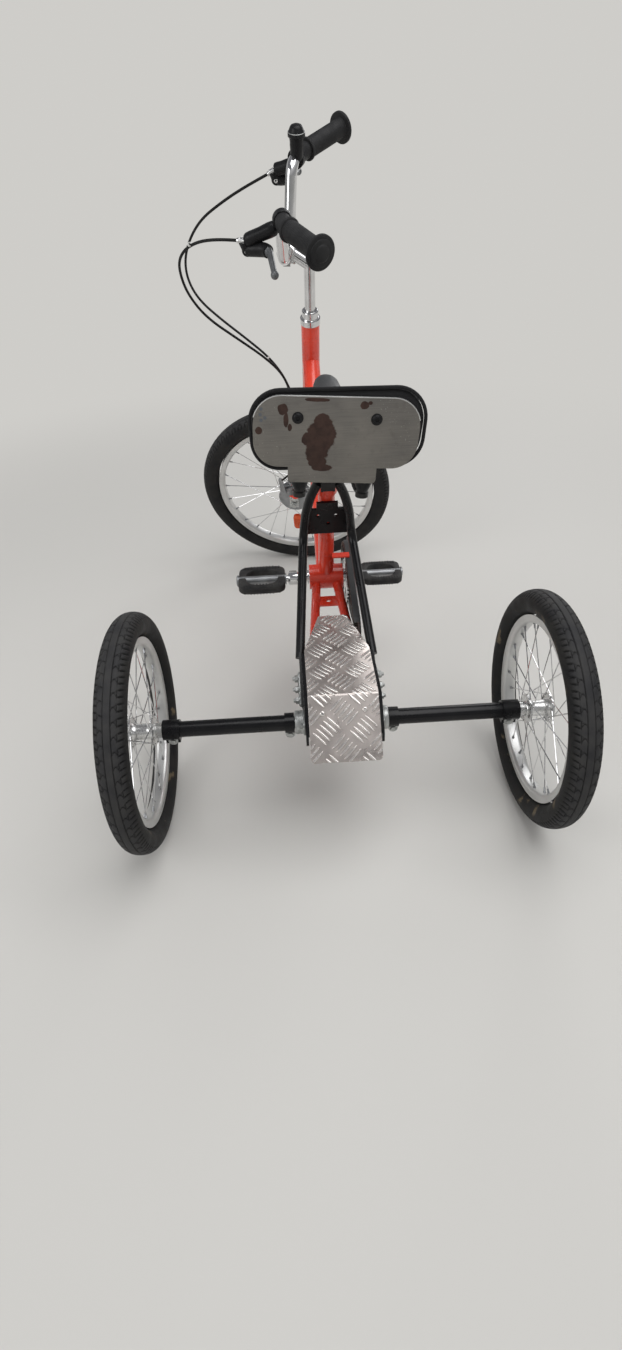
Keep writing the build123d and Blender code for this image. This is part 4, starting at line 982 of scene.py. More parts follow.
def on_tread(x, down, height):
    """A place on the bent sheet, from millimetres across it and down from its fold."""
    slope = math.radians(SLOPE)
    reach = BEND * math.tan(slope / 2)
    turn = slope * max(0.0, min(1.0, (down + reach) / (2 * reach)))
    if down <= -reach:
        forward, up = FOLD - down, TREAD_TOP
    elif down >= reach:
        forward = FOLD - down * math.cos(slope)
        up = TREAD_TOP - down * math.sin(slope)
    else:
        forward = FOLD + reach - BEND * math.sin(turn)
        up = TREAD_TOP - BEND * (1 - math.cos(turn))
    return spot(x, forward - height * math.sin(turn), up + height * math.cos(turn))


# %% [markdown]
# Shears cut along straight lines, so the outline is a list of planes. The mesh is cut at each plane
# and what lies outside is dropped. A Boolean modifier could cut it too, but it is slow and fragile
# where hundreds of bars meet a curved edge. The two round corners are three short cuts each.

# %% Cutting to the outline


def sheared(mesh, margin):
    """Cuts what is drawn flat at the sheet's outline, a margin inside it, and closes the cuts."""
    half, front = TREAD_HALF_WIDTH - margin, FOLD - TIP + margin
    taper = Vector((TIP - TAPER_START, -(TREAD_HALF_WIDTH - TIP_HALF), 0)).normalized()
    cuts = [((side * half, 0, 0), (side, 0, 0)) for side in (-1, 1)]
    cuts += [((0, SLOPE_LENGTH - margin, 0), (0, 1, 0)), ((0, front, 0), (0, -1, 0))]
    for side in (-1, 1):
        cuts.append(((side * half, FOLD - TAPER_START, 0), (side * taper.x, taper.y, 0)))
        for turn in (22.5, 45, 67.5):
            across, down = math.cos(math.radians(turn)), math.sin(math.radians(turn))
            corner = (side * (half - TREAD_CORNER * (1 - across)),
                      SLOPE_LENGTH - margin - TREAD_CORNER * (1 - down), 0)
            cuts.append((corner, (side * across, down, 0)))
    for point, outwards in cuts:
        bmesh.ops.bisect_plane(
            mesh, geom=mesh.verts[:] + mesh.edges[:] + mesh.faces[:], dist=1e-4,
            plane_co=point, plane_no=outwards, clear_outer=True)
        rim_edges = [edge for edge in mesh.edges if len(edge.link_faces) == 1]
        bmesh.ops.edgeloop_fill(mesh, edges=rim_edges)


# %% [markdown]
# The sheet itself is a grid with two layers. It has close rows at the fold, which bend into a smooth
# curve, and wide rows elsewhere. Its cut edges are bevelled before it is bent.

# %% The sheet
sheet = bmesh.new()
downs = [-230 + 14.0 * step for step in range(16)] + [-4 + 0.5 * step for step in range(17)]
downs += [10 + 12.0 * step for step in range(10)]
layers = []
for height in (0.0, -SHEET):
    layers.append([[sheet.verts.new((x, down, height)) for x in (-70, -20, 20, 70)] for down in downs])
for layer in layers:
    for first, second in zip(layer, layer[1:]):
        for left, right in ((0, 1), (1, 2), (2, 3)):
            sheet.faces.new((first[left], first[right], second[right], second[left]))
top, under = layers
for side in (0, 3):
    for row in range(len(downs) - 1):
        sheet.faces.new((top[row][side], top[row + 1][side], under[row + 1][side], under[row][side]))
for row in (0, -1):
    for left in range(3):
        sheet.faces.new((top[row][left], top[row][left + 1], under[row][left + 1], under[row][left]))
sheared(sheet, 0.0)
bmesh.ops.recalc_face_normals(sheet, faces=sheet.faces)
rims = [edge for edge in sheet.edges if len(edge.link_faces) == 2 and edge.calc_face_angle(0) > 1.2]
bmesh.ops.bevel(sheet, geom=rims, offset=0.7, segments=2, profile=0.5, affect="EDGES")
for vertex in sheet.verts:
    vertex.co = on_tread(*vertex.co)
make_piece("tread_sheet", sheet, finish["tread_metal"], "frame", ["tread_plate"])

# %% [markdown]
# The bars are pressed up from below, so they have no sharp foot; they are lighter than the sheet. Each is
# a long drop with a rounded top. The groups lean by turns to either side, on a grid of two offsets.

# %% Tread bars
GROUP_PITCH, BAR_PITCH, BAR_LENGTH, BAR_WIDTH, BAR_HEIGHT, BAR_STEPS = 58.0, 8.2, 30.0, 4.8, 1.9, 28


def raised_bar(mesh, x, down, turn):
    """One bar: a long flat drop with a rounded top."""
    place = Matrix.Translation((x, down, 0)) @ Matrix.Rotation(math.radians(turn), 4, "Z")
    rings = []
    for inset, height in ((0.0, -0.2), (0.4, 0.9), (1.0, 1.6), (1.9, BAR_HEIGHT)):
        ring = []
        for step in range(BAR_STEPS):
            angle = math.tau * step / BAR_STEPS
            along = (BAR_LENGTH / 2 - inset) * math.copysign(abs(math.cos(angle)) ** 0.8, math.cos(angle))
            across = (BAR_WIDTH / 2 - inset * 0.8) * math.sin(angle)
            ring.append(mesh.verts.new(place @ Vector((along, across, height))))
        rings.append(ring)
    skinned(mesh, rings)


bars = bmesh.new()
for row in range(-5, 3):
    for columns, first_row, lean in (((-1, 0, 1), 27, -1), ((-0.5, 0.5), -2, 1)):
        for column in columns:
            for number in range(-2, 3):
                offset = number * BAR_PITCH * math.sqrt(0.5)
                raised_bar(bars, GROUP_PITCH * column + offset,
                           first_row + GROUP_PITCH * row - lean * offset, 45 * lean)
sheared(bars, 0.8)
bmesh.ops.bisect_plane(
    bars, geom=bars.verts[:] + bars.edges[:] + bars.faces[:], plane_co=(0, 0, 0), plane_no=(0, 1, 0))
for vertex in bars.verts:
    vertex.co = on_tread(*vertex.co)
bar_metal = make_finish(
    "bar_metal", (0.86, 0.83, 0.80), (0.74, 0.70, 0.67), (0.50, 0.45, 0.42),
    0.16, 0.32, 0.85, 0.0, 30, 2.0, 0.72, 1.0, 0.02)
make_piece("tread_bars", bars, bar_metal, "frame", sharp=60)

# %% [markdown]
# The sheet is held down by button head screws, two on the slope, and by two small rivets on the flat.
# They stand on the sheet at places read from the same function that bent it.

# %% Screws of the sheet
mesh = bmesh.new()
slope_normal = Vector((0, -math.sin(math.radians(SLOPE)), math.cos(math.radians(SLOPE))))
for x, down in ((-34.0, 29.0), (32.5, 26.0)):
    round_bolt(mesh, stand(on_tread(x, down, 0.4), slope_normal), 4.6, 2.6)
for x, down in ((21.0, -47.0), (24.0, -62.0)):
    turned(mesh, [(0, -0.3), (2.7, -0.3), (2.5, 0.6), (1.5, 1.2), (0, 1.4)],
           stand(on_tread(x, down, 0.2), (0, 0, 1)), 16)
make_piece("tread_screws", mesh, bar_metal, "frame")


# %% [markdown]
# On each side of the carrier a strap with three bolts stiffens the plate. The place of the CAD straps
# is right but their bolts are plain. So the place is read from the box round them, and new straps with
# real bolts stand there. The frame beside each plate makes one drawing serve both sides.

# %% Straps


def beside(side):
    """A frame on the right (1) or left (-1) with Z outwards: heights there are sideways places."""
    flip = Matrix.Scale(side, 4, (1, 0, 0))
    return machine @ flip @ axes(Vector((0, 0, 0)), (0, 1, 0), (0, 0, 1), (1, 0, 0))


# Ahead and up of the rear axle, and sideways, in the frame beside each plate
STRAP_SLOPE, STRAP_IN, STRAP_THICK, AXLE_UP, PLATE_OUT = 36.0, 65.0, 3, 200.0, 61.0
strap_low, strap_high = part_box("side_straps")
strap_middle = (strap_low + strap_high) / 2
mesh = bmesh.new()
for side in (-1, 1):
    middle = Matrix.Translation((strap_middle.y - machine.translation.y, strap_middle.z, 0))
    place = beside(side) @ middle @ Matrix.Rotation(math.radians(STRAP_SLOPE), 4, "Z")
    plate(mesh, rectangle(60, 15, 4, 4), STRAP_IN, STRAP_IN + STRAP_THICK, place, 0.5)
    for along in (-19, 0, 19):
        head = place @ shift(along, 0, STRAP_IN + STRAP_THICK)
        # Any angle does: no two bolts in a row are done up alike
        bolt(mesh, head @ Matrix.Rotation(along, 4, "Z"), 6.3, 5.6)
        turned(mesh, [(0, 6), (3.6, 6), (3.6, 9.2), (2.8, 10.4), (0, 10.6)], head, 18)
make_piece("strap_bolts", mesh, finish["zinc"], "frame", ["side_straps"])

# %% [markdown]
# The axle tubes turn in ball bearings, which sit in turned housings with two lobes for their bolts. A
# grease nipple stands on top. The housing is spun, and each lobe is a band round two circles.

# %% Bearing housings
housing_outline = [
    (10, 0.2), (22.4, 0.2), (22.8, 0.8), (22.8, 2.6), (22.2, 3), (20.2, 3.4), (20, 4), (20, 8),
    (19.2, 8.5), (19.2, 9.7), (20, 10.2), (20, 15.4), (19.2, 16.6), (17.8, 17), (15, 17), (14.4, 16.4),
    (13, 16.4), (12.6, 17), (10, 17),
]
mesh = bmesh.new()
for side in (-1, 1):
    place = beside(side) @ shift(0, AXLE_UP, PLATE_OUT)
    turned(mesh, housing_outline, place, 56, closed=True)
    for ahead, up in ((24, -13), (-24, 13)):
        lobe = hull_of((ahead, up, 7.8), (ahead * 0.72, up * 0.72, 13.0), steps=28)
        plate(mesh, lobe, 0.3, 3.1, place, 0.5)
        bolt(mesh, place @ shift(ahead, up, 3), 4.6, 4.0)
    turned(mesh, [(0, 19.0), (2.4, 19.0), (2.4, 20.6), (1.3, 20.6), (1.1, 20.1), (0, 20.1)],
           place @ axes(Vector((0, 0, 12.8 * MM)), (1, 0, 0), (0, 0, -1), (0, 1, 0)), 14)
make_piece("housings", mesh, finish["zinc"], "frame", ["bearing_housings"])

# %% [markdown]
# Each axle tube has a clamp collar at both ends. Their pinch bolts hang below: a hexagon head in
# front, the shank through both ears and a nut behind. They turn with the wheels, so they ride on the
# wheels' bodies.

# %% Pinch bolts
SIDES = ((1, "right"), (-1, "left"))
for side, name in SIDES:
    mesh = bmesh.new()
    for middle in (87.0, 284.0):
        place = beside(side) @ shift(0, AXLE_UP - 19.5, middle)
        across = place @ axes(Vector((0, 0, 0)), (0, 0, 1), (0, 1, 0), (-1, 0, 0))
        turned(mesh, [(0, -10.8), (3.8, -10.8), (3.8, 10.8), (0, 10.8)], across, 20)
        for end in (across, across @ Matrix.Rotation(math.pi, 4, "X")):
            bolt(mesh, end @ shift(0, 0, 6.6), 5.2, 3.6)
    make_piece(name + "_pinch_bolts", mesh, finish["zinc"], "rear_wheel_" + name)

# %% [markdown]
# A nut on the outer end of each rear axle holds the wheel. Where the hub ends is read from the box of
# its CAD solid, so the nut sits on the hub whatever its width.

# %% Axle nuts
NUT_SUNK = 4.5
for side, name in SIDES:
    node = "rear_hub_" + name
    low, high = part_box(node)
    outer = max(abs(low.x), abs(high.x))
    print(node, "outer end at", round(outer, 4))
    mesh = bmesh.new()
    seat_at = (side * (outer - NUT_SUNK * MM), machine.translation.y, AXLE_UP * MM)
    place = stand(seat_at, (side, 0, 0), (0, 1, 0))
    bolt(mesh, place, 7.6, 4.0)
    turned(mesh, [(0, 4), (4.6, 4), (4.6, 6.4), (3.8, 7.2), (0, 7.2)], place, 20)
    make_piece(node + "_nut", mesh, finish["zinc"], "rear_wheel_" + name)

# %% [markdown]
# ## Backrest
# The backrest is a bare steel sheet with a cushion bolted in front of it. The sheet is dull and
# brushed, and large dark brown stains have run down it. A stain needs a place, which noise alone can't
# give it. So each one is an ellipse in the plane of the sheet, with an edge that noise makes ragged.

# %% Places in the plane of the sheet
seat_frame = machine @ seat_roll
BACKREST_ACROSS, BACKREST_LOW, BACKREST_HIGH, PLATE_FRONT, PLATE_BACK = -7.0, 610.0, 700.0, 55.9, 53.9
backrest_frame = shift(BACKREST_ACROSS, 0, 0) @ seat_frame

# Columns: across and up from the middle of the sheet's lower edge, half width, half height (mm)
STAINS = [
    (-20, 42, 20, 23), (-25, 22, 16, 20), (-19, 60, 13, 10), (-38, 38, 8, 9), (-23, 8, 13, 11),
    (-17, 0, 15, 5.5),
    (-70, 74, 7, 7), (-66, 61, 3.5, 10), (-61, 52, 3, 5), (-101, 47, 5, 5), (34, 81, 6, 5),
    (-27, 86.5, 17, 2.6), (41, 84, 3, 2.5),
]


def in_sheet_plane(tree):
    """Across and up from the middle of the sheet's lower edge, in millimetres."""
    corner = backrest_frame @ (Vector((0, PLATE_BACK, BACKREST_LOW)) * MM)
    arm = vector_sum(tree, "SUBTRACT", surface_place(tree), corner)
    across, up = (
        vector_sum(tree, "DOT_PRODUCT", arm, (backrest_frame.to_3x3() @ Vector(way)) / MM, "Value")
        for way in ((1, 0, 0), (0, 0, 1))
    )
    return wired(tree, "CombineXYZ", {0: across, 1: up})


def stain_mask(tree, plane, across, up, half_width, half_height, ragged=0.36):
    """1 inside an ellipse with a ragged edge, 0 outside."""
    centred = vector_sum(tree, "SUBTRACT", plane, (across, up, 0))
    scaled = vector_sum(tree, "MULTIPLY", centred, (1 / half_width, 1 / half_height, 0))
    out = vector_sum(tree, "LENGTH", scaled, output="Value")
    edge = wired(tree, "Math", {0: cloudy(tree, 7, 0.2, 0.8, 5.0), 1: ragged, 2: out},
                 operation="MULTIPLY_ADD")
    return ranged(tree, edge, 1.08, 1.18, 1, 0)


# %% [markdown]
# The steel is laid up in order: broad clouds of grey, the lines of the brush, dull spots, bright specks,
# then the stains over all of it. A stain is no metal any more, so the same mask that colours it also
# takes the metal away. Four small blue-grey drops are near the left edge.

# %% Stained steel
BLUE_DROPS = ((-98, 74), (-99, 67), (-98, 60), (-93, 63))
sheet_steel, tree, shader = start_finish("sheet_steel")
plane = in_sheet_plane(tree)
brushed = cloudy(tree, 1.0, 0.3, 0.7, 3.0, (0.03, 1, 1))
specks = times(tree, cloudy(tree, 1.6, 0.70, 0.73, 2.0), cloudy(tree, 60, 0.45, 0.6))
colour = blended(tree, cloudy(tree, 55, 0.3, 0.7), (0.205, 0.192, 0.172), (0.142, 0.135, 0.126))
for mask, share, tone in (
    (brushed, 0.35, (0.27, 0.255, 0.23)),
    (cloudy(tree, 9, 0.58, 0.75, 6.0), 0.4, (0.12, 0.11, 0.10)),
    (specks, 0.5, (0.62, 0.61, 0.58)),
):
    colour = blended(tree, times(tree, mask, share), colour, tone)
stained = stain_mask(tree, plane, *STAINS[0])
for stain in STAINS[1:]:
    stained = wired(tree, "Math", {0: stained, 1: stain_mask(tree, plane, *stain)}, operation="MAXIMUM")
brown = blended(tree, cloudy(tree, 10, 0.35, 0.65), (0.028, 0.012, 0.009), (0.050, 0.024, 0.018))
colour = blended(tree, times(tree, stained, 0.93), colour, brown)
for across, up in BLUE_DROPS:
    drop = stain_mask(tree, plane, across, up, 2.2, 2.2, 0.3)
    colour = blended(tree, times(tree, drop, 0.6), colour, (0.09, 0.115, 0.15))
plug(tree, shader, {
    "Base Color": colour,
    "Metallic": ranged(tree, stained, 0, 1, 0.62, 0.05),
    "Specular IOR Level": ranged(tree, stained, 0, 1, 0.5, 0.15),
    "Roughness": ranged(tree, cloudy(tree, 22, 0.3, 0.7, 5.0), 0, 1, 0.34, 0.52),
})
dented(tree, shader, brushed, 0.02)
dented(tree, shader, cloudy(tree, 60, 0.3, 0.7, 2.0), 0.5, 0.25)
print("stains:", len(STAINS), "drops:", len(BLUE_DROPS))

# %% [markdown]
# The sheet is sawn to a wide shape with round corners, with a straight tab below for the arm that holds
# it. Both are cut by the same shears, and the tab is a hair thinner, so no two faces fight over a place.

# %% The sheet of the backrest
TOP_CORNER, LOW_CORNER, BACKREST_HALF = 37.0, 33.0, 109.0


def backrest_outline(spare):
    """The rounded outline of the sheet, grown by a margin, as across and up in millimetres."""
    circles = []
    for side in (-1, 1):
        circles.append((side * (BACKREST_HALF - TOP_CORNER), BACKREST_HIGH - TOP_CORNER, TOP_CORNER + spare))
        circles.append((side * (BACKREST_HALF - LOW_CORNER), BACKREST_LOW + LOW_CORNER, LOW_CORNER + spare))
    return hull_of(*circles, steps=44)


def behind_backrest(across, up, forward):
    """A place on the sheet that faces backwards."""
    corner = backrest_frame @ (Vector((across, forward, up)) * MM)
    turn = backrest_frame.to_3x3()
    return axes(corner, turn @ Vector((1, 0, 0)), turn @ Vector((0, 0, 1)), turn @ Vector((0, -1, 0)))


mesh = bmesh.new()
plate(mesh, backrest_outline(0), 0, PLATE_FRONT - PLATE_BACK, behind_backrest(0, 0, PLATE_FRONT), 0.35)
tab = [(x - 3, y + BACKREST_LOW + 7) for x, y in rectangle(120, 56, 5, 6)]
plate(mesh, tab, 0.02, PLATE_FRONT - PLATE_BACK - 0.02, behind_backrest(0, 0, PLATE_FRONT), 0.35)
make_piece("back_sheet", mesh, sheet_steel, "frame", ["backrest_plate"])

# %% [markdown]
# Two round bolts hold the cushion's board. A thin tube of bright metal along the sheet's upper edge is
# a painted highlight, where the rounded edge catches the light.

# %% Backrest bolts and painted edge highlight
mesh = bmesh.new()
for across in (-51, 51):
    place = behind_backrest(across, BACKREST_LOW + 64, PLATE_BACK)
    turned(mesh, [(0, 0), (7.4, 0), (7.4, 0.8), (6.2, 1.0), (6.1, 1.8), (5.0, 3.0), (3.1, 3.6), (2.9, 3.3),
                  (2.7, 1.6), (0, 1.5)], place, 32)
make_piece("backrest_bolts", mesh, finish["black_plastic"], "frame")

# A thin bright tube along the upper edge: a painted highlight
mesh = bmesh.new()
edge_points = [
    behind_backrest(x, y, (PLATE_BACK + PLATE_FRONT) / 2).translation
    for x, y in backrest_outline(0.35) if y > BACKREST_HIGH - 30
]
edge_points.sort(key=lambda point: point.x)
tube(mesh, edge_points, 1.0, 8)
make_piece("backrest_edge_highlight", mesh, finish["rim_aluminium"], "frame")

# %% [markdown]
# The cushion's cover is a coarse black cloth. Threads of a millimetre are too many to model, so the
# weave is a pattern: two sets of waves that cross, light where a thread lies on top, which also dent
# the surface. It reads the place on the machine and no unwrapped map, so it has no seam.

# %% Woven cover


def cover_material(name, dark, light, thread_mm, rough, depth):
    """Cloth with a plain weave: two sets of threads that cross, and dust between them."""
    material, tree, shader = start_finish(name)
    threads = wired(tree, "VectorMath", {0: surface_place(tree), "Scale": 1 / (thread_mm * MM)},
                    operation="SCALE")
    split = tree.nodes.new("ShaderNodeSeparateXYZ")
    plug(tree, split, {0: threads})
    waves = [
        wired(tree, "Math", {0: times(tree, split.outputs[way], math.tau)}, operation="SINE")
        for way in range(3)
    ]
    weave, side_weave = (ranged(tree, times(tree, waves[way], waves[2]), -1, 1, 0, 1) for way in (0, 1))
    dust = cloudy(tree, 28, 0.4, 0.75, 6.0)
    dusty = tuple(1.6 * part for part in light)
    plug(tree, shader, {
        "Base Color": blended(tree, times(tree, dust, 0.3), blended(tree, weave, dark, light), dusty),
        "Roughness": ranged(tree, dust, 0, 1, rough, rough + 0.1),
        "Specular IOR Level": 0.2,
        "Sheen Weight": 0.08,
    })
    dented(tree, shader, weave, depth)
    dented(tree, shader, side_weave, depth)
    dented(tree, shader, cloudy(tree, 18, 0.3, 0.7, 3.0), 0.8, 0.35)
    return material


pad_cloth = cover_material("pad_cloth", (0.006, 0.006, 0.007), (0.018, 0.018, 0.019), 1.5, 0.82, 0.35)
print("pad cloth nodes:", len(pad_cloth.node_tree.nodes))

# %% [markdown]
# Foam pushes its cover out everywhere at once, and the cover pulls in between its corners. A Subdivision
# Surface would only round a slab. The cloth simulation gives the real thing: the skin is split into even
# faces, air is blown into it for twenty frames without gravity, and what lies on the board is held. A
# cap keeps each point near where it started, and then the result becomes the mesh.

# %% Blowing up a cushion
VOXEL, SWELL_FRAMES, AIR_PRESSURE = 0.005, 20, 4.0


def applied(piece):
    """The piece's mesh as its modifiers leave it, without the modifiers."""
    depsgraph = bpy.context.evaluated_depsgraph_get()
    mesh = bpy.data.meshes.new_from_object(piece.evaluated_get(depsgraph))
    piece.modifiers.clear()
    return mesh


def blown_up(piece, cap_mm, held):
    """Swells a closed skin with the cloth simulation. Points listed by held stay where they are."""
    skin = piece.modifiers.new("skin", "REMESH")
    skin.mode = "VOXEL"
    skin.voxel_size = VOXEL
    piece.data = even = applied(piece)
    before = [vertex.co.copy() for vertex in even.vertices]
    group = piece.vertex_groups.new(name="held")
    group.add([vertex.index for vertex in even.vertices if held(vertex.co)], 1.0, "REPLACE")
    cloth = piece.modifiers.new("air", "CLOTH")
    cloth.settings.use_pressure = True
    cloth.settings.uniform_pressure_force = AIR_PRESSURE
    cloth.settings.effector_weights.gravity = 0.0
    cloth.settings.vertex_group_mass = "held"
    for number in range(1, SWELL_FRAMES + 1):
        scene.frame_set(number)
    swollen = applied(piece)
    piece.vertex_groups.clear()
    for start, vertex in zip(before, swollen.vertices):
        move = vertex.co - start
        if move.length > cap_mm * MM:
            vertex.co = start + move.normalized() * cap_mm * MM
    piece.data = swollen
    scene.frame_set(1)
    finer = piece.modifiers.new("finer", "SUBSURF")
    finer.levels = 1
    piece.data = applied(piece)
    piece.data.polygons.foreach_set("use_smooth", [True] * len(piece.data.polygons))


def cover(piece, material, node):
    """Gives a blown up piece its cover, and says which solid it stands for."""
    piece.data.materials.clear()
    piece.data.materials.append(material)
    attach(piece, "frame")
    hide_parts(node)
    print(piece.name, "faces:", len(piece.data.polygons))


# %% [markdown]
# The cushion starts as a slab, a little smaller than the finished one, with its back on a board. It hangs
# a little askew on the real machine, so its outline is turned. The welt round the back is the hem of
# the cover, where it is stapled down: a thin tube of the same cloth.

# %% Backrest cushion
PAD_BACK, PAD_FRONT, CUSHION_TURN = 56.2, 84.0, math.radians(2.6)
front_of_board = behind_backrest(0, 0, PAD_BACK) @ Matrix.Rotation(math.pi, 4, "Y")
level = hull_of((-74, 11, 40), (74, 11, 40), (-77, -12, 36), (77, -12, 36), steps=44)
cushion_outline = [
    (2 + x * math.cos(CUSHION_TURN) - y * math.sin(CUSHION_TURN),
     658 + x * math.sin(CUSHION_TURN) + y * math.cos(CUSHION_TURN)) for x, y in level
]
mesh = bmesh.new()
flipped = [(-x, y) for x, y in grown(cushion_outline, -1.5)][::-1]
plate(mesh, flipped, 0, PAD_FRONT - PAD_BACK, front_of_board, 5.0)
cushion = new_object("backrest_cushion", mesh)
board = machine.translation.y + PAD_BACK * MM
blown_up(cushion, 7.0, lambda point: point.y < board + 0.004)
for vertex in cushion.data.vertices:
    vertex.co.y = max(vertex.co.y, board + 0.0002)
cover(cushion, pad_cloth, "backrest_pad")

mesh = bmesh.new()
welt = [front_of_board @ (Vector((-x, y, 2.6)) * MM) for x, y in grown(cushion_outline, 0.4)]
tube(mesh, welt, 2.4, 10, closed=True)
make_piece("cushion_welt", mesh, pad_cloth, "frame")

# %% [markdown]
# ## Saddle
# The saddle is foam under a thin cover. Its plan and its side view are three tables, read like a
# drawing: half its width, its top and its bottom, each against the distance along it. Sculpting would
# be freer, but a table keeps the saddle inside its box and is easy to change.

# %% Shape of the saddle
SEAT_FORWARD, SADDLE_LOW = 239.89, 612.0
HALF_WIDTHS = [(-122, 40), (-118, 56), (-106, 72), (-88, 79), (-62, 75), (-38, 64), (-8, 46), (18, 37),
               (52, 31), (86, 27), (110, 24), (126, 19), (136, 12), (141, 5)]
TOPS = [(-124, 36), (-116, 44), (-100, 49), (-74, 53), (-40, 50), (6, 41), (60, 43), (104, 48),
        (122, 46), (134, 40), (142, 28)]
BOTTOMS = [(-124, 8), (-112, 1), (-44, 0), (46, 8), (120, 6), (142, 14)]


def on_seat(x, forward, up):
    """A place on the leaning saddle, from millimetres ahead of the seat post's clamp and above its base."""
    return seat_frame @ (Vector((x, SEAT_FORWARD + forward, SADDLE_LOW + up)) * MM)


def between(table, x):
    """Reads a value between the rows of a table."""
    for (low, first), (high, second) in zip(table, table[1:]):
        if x <= high:
            return first + (second - first) * max(0.0, (x - low) / (high - low))
    return table[-1][1]


# %% [markdown]
# The cover is vinyl with a leather grain, cells of about two millimetres with creases between them. A
# Voronoi pattern has just such cells. The creases are darker, and they dent the surface.

# %% Grained vinyl


def vinyl_material(name, dark, light):
    """Thin vinyl with a leather grain and dust in it."""
    material, tree, shader = start_finish(name)
    cells = wired(tree, "TexVoronoi", {"Vector": surface_place(tree), "Scale": 1 / (1.7 * MM)},
                  "Distance", feature="DISTANCE_TO_EDGE")
    raised = ranged(tree, cells, 0.0, 0.22, 0, 1)
    dust = cloudy(tree, 30, 0.42, 0.72, 6.0)
    dusty = tuple(1.7 * part for part in light)
    plug(tree, shader, {
        "Base Color": blended(tree, times(tree, dust, 0.35), blended(tree, raised, dark, light), dusty),
        "Roughness": ranged(tree, dust, 0, 1, 0.46, 0.62),
        "Specular IOR Level": 0.35,
    })
    dented(tree, shader, raised, 0.12)
    dented(tree, shader, cloudy(tree, 26, 0.3, 0.7, 3.0), 1.0, 0.3)
    return material


vinyl = vinyl_material("saddle_vinyl", (0.020, 0.021, 0.023), (0.042, 0.043, 0.046))
print("vinyl nodes:", len(vinyl.node_tree.nodes))

# %% [markdown]
# Rings laid across the saddle, each with its own width, top and bottom, make the skin. It starts a
# little small, and the same swelling rounds it as on the cushion.

# %% Saddle cover
RINGS, RING_STEPS, SADDLE_INSET = 45, 32, 2.5
rings = []
mesh = bmesh.new()
for step in range(RINGS):
    y = -122 + 263 * step / (RINGS - 1)
    half = max(2.0, between(HALF_WIDTHS, y) - SADDLE_INSET)
    low, top = between(BOTTOMS, y) + 1.0, between(TOPS, y) - SADDLE_INSET
    forward = min(138.5, max(-119.5, y))
    ring = []
    for turn in range(RING_STEPS):
        angle = math.tau * turn / RING_STEPS
        c, s = math.cos(angle), math.sin(angle)
        x = half * math.copysign(abs(c) ** 0.75, c)
        z = (low + top) / 2 + (top - low) / 2 * math.copysign(abs(s) ** (0.8 if s < 0 else 0.9), s)
        ring.append(mesh.verts.new(on_seat(x, forward, z)))
    rings.append(ring)
skinned(mesh, rings)
seat = new_object("saddle_cover", mesh)
base_height = (SADDLE_LOW + 14) * MM
blown_up(seat, 3.5, lambda point: (seat_frame.inverted() @ point).z < base_height)
cover(seat, vinyl, "saddle")

# %% [markdown]
# A seam runs round the saddle where its top meets its skirt, and a black plastic shell closes it below.
# Both follow the table of its widths, so they fit whatever its shape.

# %% Saddle seam and base
mesh = bmesh.new()
seam = []
for side in (1, -1):
    half_seam = []
    for step in range(40):
        y = -119 + 258 * step / 39
        x = side * (between(HALF_WIDTHS, y) - 0.6)
        half_seam.append(on_seat(x, y, between(BOTTOMS, y) + 11))
    seam += half_seam if side == 1 else half_seam[::-1]
tube(mesh, seam, 1.3, 8, closed=True)
make_piece("saddle_seam", mesh, vinyl, "frame")

mesh = bmesh.new()
right_side = [(between(HALF_WIDTHS, y) - 5, y) for y in range(-114, 120, 9)]
base = right_side + [(-x, y) for x, y in reversed(right_side)]
under = seat_frame @ shift(0, SEAT_FORWARD, SADDLE_LOW)
plate(mesh, base, -1.5, 9, under, 2.5)
make_piece("saddle_base", mesh, finish["black_plastic"], "frame")

# %% [markdown]
# Two coil springs carry the rear of the saddle. Each stands in a tapered black cup. A coil is a tube
# along a helix; the Screw modifier could draw one too, but here it has to lean with the saddle.

# %% Saddle springs
COIL_TURNS, COIL_STEPS = 5, 28
mesh = bmesh.new()
cups = bmesh.new()
for side in (-1, 1):
    foot = seat_frame @ (Vector((side * 49, SEAT_FORWARD - 79, 532)) * MM)
    upright = Matrix.Translation(foot) @ seat_frame.to_3x3().to_4x4()
    coil = []
    for step in range(COIL_TURNS * COIL_STEPS + 1):
        angle = math.tau * step / COIL_STEPS
        height = 26 + 46 * step / (COIL_TURNS * COIL_STEPS)
        coil.append(upright @ (Vector((*(11.2 * heading(angle)), height)) * MM))
    tube(mesh, coil, 2.3, 10)
    turned(cups, [(0, 0.2), (6.4, 0.2), (7.6, 1.4), (12.6, 13), (14, 20), (14, 28), (13.2, 29), (11.4, 29),
                  (11, 26), (0, 25)], upright, 40)
    turned(cups, [(0, 76.4), (13.2, 76.4), (14, 75.6), (14, 70.5), (13.2, 69.6), (0, 69.6)], upright, 40)
    bolt(cups, upright @ shift(0, 0, 0.2) @ Matrix.Rotation(math.pi, 4, "X"), 5.0, 4.5)
make_piece("saddle_coils", mesh, finish["spring_black"], "frame", ["saddle_springs"])
make_piece("spring_cups", cups, finish["black_plastic"], "frame")

mesh = bmesh.new()
for side in (-1, 1):
    centre = seat_frame @ (Vector((side * 31.2, SEAT_FORWARD, 600)) * MM)
    bolt(mesh, stand(centre, seat_frame.to_3x3() @ Vector((side, 0, 0)), (0, 1, 0)), 7.0, 5.5)
make_piece("saddle_clamp_nuts", mesh, finish["zinc"], "frame")

# %% [markdown]
# ## Handlebar
# Everything from here to the cables turns with the fork, so it is laid out in the fork's own frame:
# right, ahead and up along the steering axis. Then it doesn't matter how far the bar is turned. The
# grips and levers sit on the bar's straight runs, whose corners are those of the CAD model.

